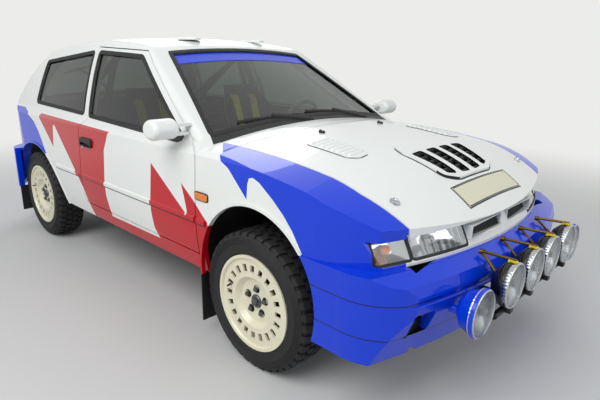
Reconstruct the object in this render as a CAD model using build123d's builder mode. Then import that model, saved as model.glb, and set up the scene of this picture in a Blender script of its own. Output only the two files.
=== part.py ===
"""A three-door rally car, built from its panels, running gear, lamps and cabin fittings."""
import os
from math import cos, hypot, radians, sin, sqrt

from build123d import *

os.makedirs("parts", exist_ok=True)

# Millimetres. +X forward, +Y left, +Z up, the ground is z = 0, the origin is under the middle of the car.
# What lies ahead of the doors hangs on the front axle, what lies behind them on the rear one.
wheelbase = 2430
front_axle_x = 1125
rear_axle_x = front_axle_x - wheelbase

# Lengths along the car
nose_x = front_axle_x + 735
bumper_x = nose_x + 82
scuttle_x = front_axle_x - 380
screen_foot_x = scuttle_x - 55
screen_top_x = scuttle_x - 669
door_rear_x = rear_axle_x + 805
hoop_x = door_rear_x - 60
roof_rear_x = rear_axle_x - 30
tail_x = rear_axle_x - 670
bumper_end_x = tail_x + 223

# Half widths
side_y = 834
belt_y = side_y - 82
roof_half = side_y - 286
floor_y = side_y - 109
front_wheel_y = side_y - 99
rear_wheel_y = side_y - 109
steer_y = front_wheel_y - 20
nose_half = side_y - 194

# Heights
roof_z = 1461
belt_z = 966
crease_z = belt_z - 48
sill_z = 350
lamp_top_z = 738
nose_bottom_z = 634
bumper_bottom_z = 300
door_bottom_z = sill_z + 88
tailgate_bottom_z = 622
boot_floor_z = sill_z + 130

# Wheels and arches: an arch is its middle's place along the car, its height and its radius
tyre_radius = 320
tyre_width = 190
front_arch = (front_axle_x + 16, tyre_radius + 81, tyre_radius + 38)
rear_arch = (rear_axle_x + 10, tyre_radius - 75, tyre_radius + 147)
arch_lip = 12

# Walls and gaps
side_wall = 50
roof_wall = 26
panel_wall = 20
floor_wall = 25
house_wall = 8
glass_inset = 9
glass_thickness = 6
seat_gap = 0.3
shut_gap = 6
ball_ratio = 1.08

# Crowns: each top surface is an arc turned about a fore-and-aft axis far below the car
cabin_crown_z = -4000
bonnet_crown_z = -3200
crown_half_angle = 14
nose_plan_radius = 2050
bumper_plan_radius = 2640

# Hinges and shut lines
door_hinge = (scuttle_x - 3, -(side_y + 12))
door_return = 12
bonnet_lip_z = lamp_top_z + 5

# Beyond every part of the car, for cuts that go right through
out = 3000


def crown_plane(axis_z):
    """The plane of a crown's profile in x and z, turned to the right by half the crown's angle."""
    lean = radians(crown_half_angle)
    up = Vector(0, -sin(lean), cos(lean))
    origin = Vector(0, 0, axis_z) + up * (-axis_z)
    return Plane(origin=origin, x_dir=(1, 0, 0), z_dir=(0, -cos(lean), -sin(lean)))


def crown_axis(axis_z):
    return Axis((0, 0, axis_z), (-1, 0, 0))


def inward(depth, point):
    """An outline's point moved into the body, from its place, the way its skin faces and the corner's reach."""
    along, across, facing, reach = point
    return (
        along - depth * reach * cos(radians(facing)),
        across - depth * reach * sin(radians(facing)),
    )


def outline(depth, pieces):
    """Draws an outline: each piece is a line through its points, or an arc where it is named so."""
    for shape, *points in pieces:
        places = [inward(depth, point) for point in points]
        if shape == "arc":
            ThreePointArc(*places)
        else:
            Polyline(*places)


# Columns of an outline's point: place along, place across, facing in degrees, reach of the corner.
# Cross-section in y and z: sill, door skin, crease, shoulder, leaning glass.
sill_foot = (side_y - 34, sill_z, -45, 1.35)
widest = (side_y, sill_z + 290, 0, 1)
shoulder = (belt_y, belt_z, 38, 1)
roof_edge = (belt_y - 190, roof_z + 10, 27, 1)
section_half = [
    ("line", (0, sill_z, -90, 1), sill_foot),
    ("arc", sill_foot, (side_y - 7, sill_z + 150, -4, 1), widest),
    ("line", widest, (side_y - 12, crease_z, 18, 1.05), shoulder),
    ("arc", shoulder, (belt_y - 66, (belt_z + roof_z) / 2 - 28.5, 18, 1), roof_edge),
    ("line", roof_edge, (belt_y - 190, roof_z + 139, 0, 1), (0, roof_z + 139, 90, 0)),
]
# Plan in x and y: tail, rear corner, straight side, tapering front wing.
tail_turn = (tail_x + 36, side_y - 274, 170, 1)
tail_corner = (tail_x + 96, side_y - 144, 130, 1)
side_start = (tail_x + 560, side_y, 92, 1)
wing_start = (front_axle_x + 298, side_y, 88, 1)
wing_end = (nose_x - 90, side_y - 134, 55, 1)
plan_half = [
    ("arc", (tail_x, 0, 180, 1), (tail_x + 9, 300, 177, 1), tail_turn),
    ("arc", tail_turn, (tail_x + 54, side_y - 198, 158, 1), tail_corner),
    ("arc", tail_corner, (tail_x + 280, side_y - 46, 105, 1), side_start),
    ("line", side_start, wing_start),
    ("arc", wing_start, (nose_x - 220, side_y - 48, 72, 1), wing_end),
    ("line", wing_end, (nose_x + 100, nose_half, 0, 1), (nose_x + 100, 0, 0, 1)),
]
# Cabin's side profile in x and z: windscreen, roof, tailgate glass, tailgate, floor.
scuttle = (scuttle_x, belt_z + 30, 29.5, 1.15)
screen_top = (screen_top_x, roof_z - 68, 61, 1)
roof_front = (screen_top_x - 136, roof_z - 20, 80, 1)
roof_rear = (roof_rear_x, roof_z - 63, 111, 1.03)
glass_foot = (tail_x + 113, belt_z - 6, 150, 1.01)
tail_top = (tail_x, belt_z - 346, 178, 1)
screen_middle = ((scuttle_x + screen_top_x) / 2 - 10.5, (scuttle[1] + screen_top[1]) / 2 + 8.5, 60, 1)
roof_middle = ((roof_front[0] + roof_rear_x) / 2 + 97.5, roof_z, 90, 1)
glass_middle = (roof_rear_x - 305, (roof_rear[1] + glass_foot[1]) / 2 + 33, 130, 1)
cabin_profile = [
    ("arc", scuttle, screen_middle, screen_top),
    ("arc", screen_top, (screen_top_x - 64, roof_z - 38, 68, 1), roof_front),
    ("arc", roof_front, roof_middle, roof_rear),
    ("arc", roof_rear, glass_middle, glass_foot),
    ("arc", glass_foot, (tail_x + 37, belt_z - 166, 163, 1), tail_top),
    ("line", tail_top, (tail_x, sill_z, 225, 1.41), (scuttle_x, sill_z, -45, 1.41), scuttle),
]
# Engine bay's side profile in x and z: bonnet in two arcs, nose, underside.
bonnet_rear = (scuttle_x, belt_z + 48, 135, 1.41)
bonnet_bend = (front_axle_x + 305, belt_z - 4, 79, 1)
bonnet_front = (nose_x, lamp_top_z, 47, 1)
bonnet_rear_arc = (bonnet_rear, (scuttle_x + 365, belt_z + 34, 85, 1), bonnet_bend)
bonnet_front_arc = (bonnet_bend, (nose_x - 195, belt_z - 88, 63, 1), bonnet_front)
front_profile = [
    ("arc", *bonnet_rear_arc),
    ("arc", *bonnet_front_arc),
    ("line", bonnet_front, (nose_x + 100, lamp_top_z - 88, 20, 1), (nose_x + 100, sill_z, -45, 1.41)),
    ("line", (nose_x + 100, sill_z, -45, 1.41), (scuttle_x, sill_z, -135, 1.41), bonnet_rear),
]


def body_volume(profile, crown_z, inset_top, inset_side, nose=False):
    """One closed volume: a crowned side profile cut by the cross-section, the plan and the nose's curve."""
    with BuildPart() as volume:
        with BuildSketch(crown_plane(crown_z)):
            with BuildLine():
                outline(inset_top, profile)
            make_face()
        revolve(axis=crown_axis(crown_z), revolution_arc=2 * crown_half_angle)
        with BuildSketch(Plane.YZ.offset(-out)):
            with BuildLine():
                outline(inset_side, section_half)
                mirror(about=Plane.YZ)
            make_face()
        extrude(amount=2 * out, mode=Mode.INTERSECT)
        with BuildSketch(Plane.XY):
            with BuildLine():
                outline(inset_side, plan_half)
                mirror(about=Plane.XZ)
            make_face()
        extrude(amount=out, mode=Mode.INTERSECT)
        if nose:
            far = nose_plan_radius - inset_side
            axis_x = nose_x - nose_plan_radius
            brow_z = lamp_top_z
            with BuildSketch(Plane(origin=(axis_x, 0, 0), x_dir=(1, 0, 0), z_dir=(0, -1, 0))):
                with BuildLine():
                    Polyline((0, 0), (far, 0), (far, brow_z - 93), (far - 44, brow_z), (far - 6, brow_z))
                    Polyline((far - 6, brow_z), (far - 6, out), (0, out), (0, 0))
                make_face()
            revolve(axis=Axis((axis_x, 0, 0), (0, 0, 1)), mode=Mode.INTERSECT)
    return volume.part


cabin_outside = body_volume(cabin_profile, cabin_crown_z, 0, 0)
front_outside = body_volume(front_profile, bonnet_crown_z, 0, 0, nose=True)
cabin_core = body_volume(cabin_profile, cabin_crown_z, roof_wall, side_wall)
with BuildPart() as cabin_shell:
    add(cabin_outside)
    rails = edges().filter_by(lambda e: e.center().Z > belt_z + 34 and abs(e.center().Y) > roof_half - 68)
    fillet(rails, radius=40)
    add(cabin_core, mode=Mode.SUBTRACT)
with BuildPart() as glass_shell:
    add(body_volume(cabin_profile, cabin_crown_z, glass_inset, glass_inset))
    inner = glass_inset + glass_thickness
    add(body_volume(cabin_profile, cabin_crown_z, inner, inner), mode=Mode.SUBTRACT)
with BuildPart() as front_shell:
    add(front_outside)
    add(body_volume(front_profile, bonnet_crown_z, panel_wall, panel_wall, nose=True), mode=Mode.SUBTRACT)
with BuildPart() as lamp_shell:
    add(front_outside)
    add(body_volume(front_profile, bonnet_crown_z, 60, 60, nose=True), mode=Mode.SUBTRACT)


def block(x0, x1, y0, y1, z0, z1):
    """A plain box between two corners, used to cut a region."""
    with BuildPart() as region:
        with BuildSketch(Plane.XY.offset(z0)):
            with Locations(((x0 + x1) / 2, (y0 + y1) / 2)):
                Rectangle(x1 - x0, y1 - y0)
        extrude(amount=z1 - z0)
    return region.part


def prism_up(points, z0, z1, corner=0):
    """An outline in plan, carried up between two heights, with its corners rounded where that is asked."""
    with BuildPart() as region:
        with BuildSketch(Plane.XY.offset(z0)):
            with BuildLine():
                Polyline(*points, close=True)
            make_face()
            if corner:
                fillet(vertices(), radius=corner)
        extrude(amount=z1 - z0)
    return region.part


def both_sides(half):
    """A half outline in plan and its mirror image, as one closed run of points."""
    return half + [(x, -y) for x, y in reversed(half)]


def screen_region(gap, x0, x1):
    """The middle of the car seen from the front, up to the windscreen's edges and the roof's drip line."""
    low, high = (side_y - 140, belt_z + 15), (roof_half - 34, roof_z - 92)
    with BuildPart() as region:
        with BuildSketch(Plane.YZ.offset(x0)):
            with BuildLine():
                Polyline((0, sill_z - 50), (floor_y, sill_z - 50), (floor_y, belt_z - 36), low, high)
                Polyline(high, (roof_half, roof_z - 69), (roof_half, roof_z + 99), (0, roof_z + 99))
                mirror(about=Plane.YZ)
            make_face()
            if gap:
                offset(amount=gap)
        extrude(amount=x1 - x0)
    return region.part


def door_region(gap):
    """The right door's outline: slanting pillar in front, a shut face turned about the hinge at the rear."""
    reach = door_hinge[0] - door_rear_x
    lean = reach + 97
    with BuildPart() as region:
        with BuildSketch(Plane(origin=(*door_hinge, 0), x_dir=(-1, 0, 0), z_dir=(0, 1, 0))):
            with BuildLine():
                Polyline((0, 0), (reach + gap, 0), (reach + gap, belt_z), (lean + gap, roof_z - 61))
                Polyline((lean + gap, roof_z - 61), (lean + gap, out), (0, out), (0, 0))
            make_face()
        revolve(axis=Axis((*door_hinge, 0), (0, 0, 1)))
        with BuildSketch(Plane.XZ.offset(side_y - 384)):
            with BuildLine():
                front = scuttle_x - shut_gap
                Polyline((front, door_bottom_z), (front, crease_z), (scuttle_x - 93, belt_z - 16))
                Polyline((scuttle_x - 93, belt_z - 16), (screen_top_x - 52, roof_z - 93))
                Polyline((screen_top_x - 52, roof_z - 93), (door_rear_x - 200, roof_z - 67))
                Polyline((door_rear_x - 200, roof_z - 67), (door_rear_x - 400, roof_z - 67))
                rear = door_rear_x - 400
                Polyline((rear, roof_z - 67), (rear, door_bottom_z), (front, door_bottom_z))
            make_face()
            if gap:
                offset(amount=gap)
        extrude(amount=600, mode=Mode.INTERSECT)
        # The cabin's front wall stays with the body, but for a narrow return on the door's edge
        inner_y = -side_y + side_wall + door_return + gap
        add(block(scuttle_x - roof_wall - 10, out, inner_y, 0, 0, belt_z - 26), mode=Mode.SUBTRACT)
    return region.part


def window_prism(points, gap):
    """A side window's outline carried through the right wall."""
    with BuildPart() as region:
        with BuildSketch(Plane.XZ.offset(side_y - 384)):
            with BuildLine():
                Polyline(*points, close=True)
            make_face()
            fillet(vertices(), radius=18)
            if gap:
                offset(amount=gap)
        extrude(amount=600)
    return region.part


def tailgate_region(gap):
    """The tailgate's outline, drawn on the slope of its glass and carried square to it through the wall."""
    slope = Vector(glass_foot[0] - roof_rear[0], 0, glass_foot[1] - roof_rear[1]).normalized()
    on_glass = Plane(origin=(roof_rear_x, 0, roof_rear[1]), x_dir=slope, z_dir=(slope.Z, 0, -slope.X))
    top_half, low_half = side_y - 322 + gap, nose_half + gap
    with BuildPart() as region:
        with BuildSketch(on_glass):
            with BuildLine():
                Polyline((-20, 0), (-20, top_half), (700, low_half), (1500, low_half), (1500, 0))
                mirror(about=Plane.XZ)
            make_face()
        extrude(amount=500, both=True)
        rear = block(-out, roof_rear_x - shut_gap + gap, -out, out, tailgate_bottom_z - gap, out)
        add(rear, mode=Mode.INTERSECT)
    return region.part


def rear_window_prism(gap):
    """The tailgate's window as seen from above, carried up through its glass."""
    top, foot = roof_rear_x - 60 - gap, tail_x + 153 + gap
    half = [(top, side_y - 364 - gap), (foot, side_y - 274 - gap)]
    return prism_up(both_sides(half), belt_z - 1 + gap, roof_z, corner=30)


def arch_disc(arch, extra, y0, y1):
    """A wheel arch's round, from one distance off the car's middle to another, on the right."""
    x, z, radius = arch
    with BuildPart() as disc:
        with BuildSketch(Plane.XZ.offset(y0)):
            with Locations((x, z)):
                Circle(radius + extra)
        extrude(amount=y1 - y0)
    return disc.part


def arch_ring(arch, y0, y1):
    """The rolled lip round a wheel arch, before it meets the panel."""
    with BuildPart() as ring:
        add(arch_disc(arch, arch_lip, y0, y1))
        add(arch_disc(arch, 0, y0 - 1, y1 + 1), mode=Mode.SUBTRACT)
    return ring.part


def right_and_left(piece):
    with BuildPart() as pair:
        add(piece)
        mirror(piece, about=Plane.XZ)
    return pair


def mirrored(piece):
    with BuildPart() as other:
        mirror(piece, about=Plane.XZ)
    return other


def round_bar(start, end, radius):
    """A round bar from one point to another; a ball a little thicker than the bar closes each end."""
    way = Vector(*end) - Vector(*start)
    with BuildPart() as bar:
        with BuildSketch(Plane(origin=start, z_dir=way)):
            Circle(radius)
        extrude(amount=way.length)
        with Locations(Pos(*start), Pos(*end)):
            Sphere(radius * ball_ratio)
    return bar.part


def capsule(start, end, radius):
    """A bar with rounded ends, turned in one piece about its own line."""
    way = Vector(*end) - Vector(*start)
    diagonal = radius * sin(radians(45))
    with BuildPart() as bar:
        with BuildSketch(Plane(origin=start, x_dir=way, z_dir=way.cross(Vector(0, 0, 1)))):
            with BuildLine():
                ThreePointArc((-radius, 0), (-diagonal, -diagonal), (0, -radius))
                Line((0, -radius), (way.length, -radius))
                far_end = (way.length + radius, 0)
                ThreePointArc((way.length, -radius), (way.length + diagonal, -diagonal), far_end)
                Line(far_end, (-radius, 0))
            make_face()
        revolve(axis=Axis(start, way))
    return bar.part


def rub_strip(x0, x1):
    """A stretch of the right side's rub strip: a low ridge with bevelled edges."""
    low, high, proud = sill_z + 246, sill_z + 277, 8
    with BuildPart() as strip:
        with BuildSketch(Plane.YZ.offset(x0)):
            with BuildLine():
                root, crown = -side_y + 12, -side_y - proud
                Polyline((root, low), (-side_y, low), (crown, low + 6), (crown, high - 6))
                Polyline((crown, high - 6), (-side_y, high), (root, high), (root, low))
            make_face()
        extrude(amount=x1 - x0)
    return strip.part


# Windows in the side view, and the door handle: middle along, height, length, depth of its pocket
door_window = [
    (door_rear_x + 6, belt_z + 12), (door_rear_x - 50, roof_z - 99),
    (screen_top_x - 88, roof_z - 121), (scuttle_x - 185, belt_z - 10),
]
quarter_window = [
    (roof_rear_x - 43, belt_z + 36), (roof_rear_x + 2, roof_z - 171),
    (door_rear_x - 126, roof_z - 99), (door_rear_x - 75, belt_z + 18),
]
handle_place = (door_rear_x + 100, crease_z - 88)
handle_size = (160, 56)
handle_depth = 18


def handle_prism(shrink, y0, y1):
    """The door handle's rounded outline, from one distance off the car's middle to another, on the right."""
    with BuildPart() as region:
        with BuildSketch(Plane.XZ.offset(y0)):
            with Locations(handle_place):
                RectangleRounded(handle_size[0] - 2 * shrink, handle_size[1] - 2 * shrink, 20)
        extrude(amount=y1 - y0)
    return region.part


# Body panels
door_cut_right = door_region(shut_gap)
door_cut_left = mirrored(door_cut_right).part
tailgate_cut = tailgate_region(shut_gap)
with BuildPart() as roof:
    add(cabin_shell.part)
    add(block(roof_rear_x, screen_top_x, -roof_half, roof_half, roof_z - 141, out), mode=Mode.INTERSECT)
    add(screen_region(0, roof_rear_x, screen_top_x), mode=Mode.INTERSECT)
    add(door_cut_right, mode=Mode.SUBTRACT)
    add(door_cut_left, mode=Mode.SUBTRACT)

with BuildPart() as bulkhead:
    add(cabin_shell.part)
    add(screen_region(0, screen_foot_x, scuttle_x + 1), mode=Mode.INTERSECT)
    add(block(screen_foot_x, scuttle_x + 1, -out, out, sill_z + roof_wall, out), mode=Mode.INTERSECT)
    add(block(scuttle_x - 145, scuttle_x - roof_wall, -floor_y + 25, floor_y - 25, 0, 500), mode=Mode.SUBTRACT)
    add(door_cut_right, mode=Mode.SUBTRACT)
    add(door_cut_left, mode=Mode.SUBTRACT)

with BuildPart() as windscreen:
    add(glass_shell.part)
    add(screen_region(-seat_gap, screen_top_x + seat_gap, screen_foot_x - seat_gap), mode=Mode.INTERSECT)
    add(block(0, out, -out, out, belt_z - 66, out), mode=Mode.INTERSECT)

tail_panel_half = side_y - 188
lamp_inner_y = side_y - 172
tail_lamp_low_z = belt_z - 266
tail_lamp_high_z = belt_z - 86
with BuildPart() as rear_lip:
    add(body_volume(cabin_profile, cabin_crown_z, -5, -5))
    add(arch_ring(rear_arch, side_y - 150, side_y + 50), mode=Mode.INTERSECT)
    add(cabin_core, mode=Mode.SUBTRACT)
with BuildPart() as side_frame_right:
    add(cabin_shell.part)
    add(rear_lip.part)
    add(rub_strip(rear_axle_x + 411, door_rear_x - 8))
    add(block(-out, scuttle_x + 1, -out, -side_y + 334, 0, out), mode=Mode.INTERSECT)
    add(screen_region(0, roof_rear_x, scuttle_x + 2), mode=Mode.SUBTRACT)
    add(door_cut_right, mode=Mode.SUBTRACT)
    add(tailgate_cut, mode=Mode.SUBTRACT)
    add(block(-out, roof_rear_x, -tail_panel_half, tail_panel_half, 0, tailgate_bottom_z), mode=Mode.SUBTRACT)
    add(arch_disc(rear_arch, 0, side_y - 334, side_y + 66), mode=Mode.SUBTRACT)
    add(window_prism(quarter_window, 0), mode=Mode.SUBTRACT)
    add(block(-out, tail_x + 175, -out, -lamp_inner_y, tail_lamp_low_z, tail_lamp_high_z), mode=Mode.SUBTRACT)
    add(block(-out, bumper_end_x, -out, 0, 0, 600), mode=Mode.SUBTRACT)
side_frame_left = mirrored(side_frame_right.part)

with BuildPart() as striker:
    striker_x = tail_x + side_wall + 10
    add(block(tail_x - 15, striker_x, -30, 30, tailgate_bottom_z - 32, tailgate_bottom_z + 28))
    inside_tail = body_volume(cabin_profile, cabin_crown_z, roof_wall + seat_gap, side_wall + seat_gap)
    add(inside_tail, mode=Mode.INTERSECT)
with BuildPart() as rear_panel:
    add(cabin_shell.part)
    low, high = sill_z + 50 + seat_gap, tailgate_bottom_z - shut_gap
    add(block(-out, tail_x + 115, -tail_panel_half, tail_panel_half, low, high), mode=Mode.INTERSECT)
    add(striker.part)
    add(block(tail_x + 15, striker_x, -30, 30, tailgate_bottom_z - 42, tailgate_bottom_z - 22))

door_strip_front = scuttle_x - shut_gap - 4
with BuildPart() as door_right:
    add(cabin_shell.part)
    add(door_region(0), mode=Mode.INTERSECT)
    add(rub_strip(door_rear_x + 4, door_strip_front))
    add(window_prism(door_window, 0), mode=Mode.SUBTRACT)
    add(handle_prism(0, side_y - handle_depth, side_y + 66), mode=Mode.SUBTRACT)
door_left = mirrored(door_right.part)
with BuildPart() as door_handle_right:
    add(handle_prism(seat_gap, side_y - handle_depth + seat_gap, side_y + 3))
    with BuildSketch(Plane.XZ.offset(side_y - handle_depth + 4)):
        with Locations((handle_place[0], handle_place[1] - 12)):
            RectangleRounded(handle_size[0] - 24, 20, 9)
    extrude(amount=60, mode=Mode.SUBTRACT)
    fillet(faces().sort_by(Axis.Y)[0].outer_wire().edges(), radius=3)
door_handle_left = mirrored(door_handle_right.part)
with BuildPart() as door_glass_right:
    add(glass_shell.part)
    add(window_prism(door_window, -seat_gap), mode=Mode.INTERSECT)
door_glass_left = mirrored(door_glass_right.part)
with BuildPart() as quarter_right:
    add(glass_shell.part)
    add(window_prism(quarter_window, -seat_gap), mode=Mode.INTERSECT)
quarter_windows = right_and_left(quarter_right.part)

with BuildPart() as plate_recess:
    add(block(tail_x - 100, tail_x + 100, -275, 275, tailgate_bottom_z + 60, tailgate_bottom_z + 190))
    add(body_volume(cabin_profile, cabin_crown_z, 8, 8), mode=Mode.SUBTRACT)
with BuildPart() as tailgate:
    add(cabin_shell.part)
    add(tailgate_region(0), mode=Mode.INTERSECT)
    add(rear_window_prism(0), mode=Mode.SUBTRACT)
    add(plate_recess.part, mode=Mode.SUBTRACT)
with BuildPart() as tailgate_glass:
    add(glass_shell.part)
    add(rear_window_prism(seat_gap), mode=Mode.INTERSECT)


def bonnet_region(gap):
    """The bonnet as seen from above, from its rear edge to beyond its lip."""
    rear = scuttle_x + shut_gap - gap
    half = [
        (rear, side_y - 162 + gap), (nose_x - 300, side_y - 170 + gap),
        (nose_x - 100, side_y - 208 + gap), (out, side_y - 208 + gap),
    ]
    return prism_up(both_sides(half), bonnet_lip_z - gap, bonnet_lip_z + 600)


def lamp_region(gap):
    """The right headlamp's window in the nose, from beside the grille to the wing."""
    inner, outer = side_y - 525, side_y - 77
    return block(nose_x - 300, out, -outer - gap, -inner + gap, lamp_top_z - 87 - gap, lamp_top_z + gap)


def over_bonnet(low, high, plan):
    """What a plan region cuts from the layer between two heights over the bonnet's skin, negative below it."""
    with BuildPart() as layer:
        add(body_volume(front_profile, bonnet_crown_z, -high, 0))
        add(body_volume(front_profile, bonnet_crown_z, -low, 0), mode=Mode.SUBTRACT)
        add(plan, mode=Mode.INTERSECT)
    return layer.part


# Bonnet vent, half of it in plan: its raised frame, and two slots with their rear and front edges
vent_frame = [
    (nose_x - 462, 215), (nose_x - 390, 245), (nose_x - 205, 222), (nose_x - 170, 150),
]
vent_slots = [
    [(nose_x - 372, 18), (nose_x - 372, 98), (nose_x - 188, 88), (nose_x - 182, 20)],
    [(nose_x - 374, 134), (nose_x - 370, 220), (nose_x - 206, 184), (nose_x - 188, 124)],
]
slot_corner = 14
blade_pitch = 33
blade_count = 6
blade_lean = 14
tray_wall = 3
vent_rise = 10


def slots_prism(shrink):
    """The four slots of the bonnet vent, carried up through the bonnet, less a clearance all round."""
    with BuildPart() as slots:
        with BuildSketch(Plane.XY.offset(lamp_top_z)):
            for slot in vent_slots:
                for side in (1, -1):
                    with BuildLine():
                        Polyline(*[(x, side * y) for x, y in slot], close=True)
                    make_face()
            fillet(vertices(), radius=slot_corner)
            if shrink:
                offset(amount=-shrink)
        extrude(amount=400)
    return slots.part


with BuildPart() as bonnet:
    add(front_shell.part)
    add(bonnet_region(0), mode=Mode.INTERSECT)
    add(slots_prism(0), mode=Mode.SUBTRACT)

with BuildPart() as blade_rows:
    # Leaning slats, seen from the side, as wide as the whole vent
    with BuildSketch(Plane.XZ.offset(-250)):
        for row in range(blade_count):
            foot_x = nose_x - 362 + row * blade_pitch
            foot_z = belt_z - 116 if row > 2 else belt_z - 76
            with BuildLine():
                top_x, top_z = foot_x - blade_lean, foot_z + 90
                Polyline((foot_x, foot_z), (foot_x + 5, foot_z), (top_x + 5, top_z))
                Polyline((top_x + 5, top_z), (top_x, top_z), (foot_x, foot_z))
            make_face()
    extrude(amount=500)
tray_plan = [(nose_x - 400, 232), (nose_x - 170, 205)]
with BuildPart() as vent_blades:
    add(over_bonnet(-panel_wall - tray_wall, 4, blade_rows.part))
    add(slots_prism(seat_gap), mode=Mode.INTERSECT)
    tray = prism_up(both_sides(tray_plan), lamp_top_z, roof_z)
    add(over_bonnet(-panel_wall - tray_wall, -panel_wall - seat_gap, tray))

# Louvre domes, half of the bonnet: outline of the flange, then eight ribs from their inner to their outer end
louvre_flange = [
    (scuttle_x + 365, -336), (scuttle_x + 585, -350), (scuttle_x + 632, -376),
    (scuttle_x + 636, -440), (scuttle_x + 600, -480), (scuttle_x + 362, -478),
]
rib_count = 8
rib_pitch = 30
rib_radius = 13


def arc_height(points, x):
    """The height at x of the arc through three points of a side profile."""
    (x1, z1), (x2, z2), (x3, z3) = [point[:2] for point in points]
    squares = [x1**2 + z1**2, x2**2 + z2**2, x3**2 + z3**2]
    twice = 2 * (x1 * (z2 - z3) + x2 * (z3 - z1) + x3 * (z1 - z2))
    middle_x = (squares[0] * (z2 - z3) + squares[1] * (z3 - z1) + squares[2] * (z1 - z2)) / twice
    middle_z = (squares[0] * (x3 - x2) + squares[1] * (x1 - x3) + squares[2] * (x2 - x1)) / twice
    return middle_z + sqrt(hypot(x1 - middle_x, z1 - middle_z) ** 2 - (x - middle_x) ** 2)


def bonnet_height(x, y):
    """The bonnet skin's height: its side profile's arc, dropped along the crown's round."""
    arc = bonnet_rear_arc if x < bonnet_bend[0] else bonnet_front_arc
    return bonnet_crown_z + sqrt((arc_height(arc, x) - bonnet_crown_z) ** 2 - y**2)


with BuildPart() as louvre_right:
    add(over_bonnet(seat_gap, 4, prism_up(louvre_flange, lamp_top_z, roof_z, corner=22)))
    for rib in range(rib_count):
        rib_x = scuttle_x + 383 + rib * rib_pitch
        ends = [(rib_x, y, bonnet_height(rib_x, y) - 1) for y in (-354 - 2.5 * rib, -464 + 1.2 * rib)]
        add(capsule(*ends, rib_radius))
    add(body_volume(front_profile, bonnet_crown_z, -seat_gap, 60), mode=Mode.SUBTRACT)
with BuildPart() as bonnet_vents:
    frame_plan = prism_up(both_sides(vent_frame), lamp_top_z, roof_z, corner=36)
    add(over_bonnet(seat_gap, vent_rise, frame_plan))
    add(slots_prism(0), mode=Mode.SUBTRACT)
    add(louvre_right.part)
    mirror(louvre_right.part, about=Plane.XZ)

with BuildPart() as wing_right:
    add(front_shell.part)
    add(block(scuttle_x, out, -out, -side_y + 434, 0, out), mode=Mode.INTERSECT)
    add(rub_strip(scuttle_x + 6, front_axle_x - 308))
    add(arch_ring(front_arch, side_y - 15, side_y + 5))
    add(bonnet_region(shut_gap), mode=Mode.SUBTRACT)
    add(block(scuttle_x - 1, nose_x - 160, -side_y + 168, 0, 0, bonnet_lip_z), mode=Mode.SUBTRACT)
    add(arch_disc(front_arch, 0, side_y - 434, side_y + 66), mode=Mode.SUBTRACT)
    add(lamp_region(seat_gap), mode=Mode.SUBTRACT)
    add(block(front_arch[0], out, -out, 0, 0, nose_bottom_z), mode=Mode.SUBTRACT)
    add(block(0, out, -out, 0, 0, sill_z), mode=Mode.SUBTRACT)
    add(block(nose_x - 260, out, -nose_half, 0, 0, bonnet_lip_z + 10), mode=Mode.SUBTRACT)
wing_left = mirrored(wing_right.part)

with BuildPart() as headlamp_right:
    add(lamp_shell.part)
    add(lamp_region(0), mode=Mode.INTERSECT)
headlamps = right_and_left(headlamp_right.part)

# Grille: two openings in the nose, each with a raised frame behind its edge and a mesh let into it
grille_y = 169
grille_z = lamp_top_z - 38
grille_opening = (262, 48)
mesh_wall = 5.7
frame_front_x = nose_x - 60
low_intake_z = 458
with BuildPart() as nose_panel:
    add(front_shell.part)
    add(block(nose_x - 220, out, -nose_half, nose_half, nose_bottom_z, lamp_top_z), mode=Mode.INTERSECT)
    add(lamp_region(seat_gap), mode=Mode.SUBTRACT)
    add(mirrored(lamp_region(seat_gap)).part, mode=Mode.SUBTRACT)
    for side in (-1, 1):
        with BuildSketch(Plane.YZ.offset(nose_x - 84)):
            with Locations((side * grille_y, grille_z)):
                Rectangle(grille_opening[0] + 8, grille_opening[1] + 8)
        extrude(amount=64)
        with BuildSketch(Plane.YZ.offset(nose_x - 160)):
            with Locations((side * grille_y, grille_z)):
                Rectangle(*grille_opening)
        extrude(amount=300, mode=Mode.SUBTRACT)

with BuildPart() as grille_mesh:
    with BuildSketch(Plane.YZ.offset(nose_x - 84 - seat_gap - mesh_wall)):
        with Locations((-grille_y, grille_z), (grille_y, grille_z)):
            Rectangle(grille_opening[0] + 4, grille_opening[1] + 6)
    extrude(amount=mesh_wall)
    with BuildSketch(Plane.YZ.offset(frame_front_x + seat_gap)):
        with Locations((0, low_intake_z)):
            Rectangle(880, 140)
    extrude(amount=5)
    for y in (-205, 205):
        add(block(frame_front_x - 5, frame_front_x + 12, y - 18, y + 18, 400, 450), mode=Mode.SUBTRACT)

# Bumpers. Front face as height and depth behind the foremost plane, with a groove across it
front_bumper_face = [
    (nose_bottom_z - 2, 80), (600, 14), (560, 0), (548, 0), (542, 10), (528, 10), (522, 1), (480, 4), (385, 40),
    (bumper_bottom_z, 72),
]


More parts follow.
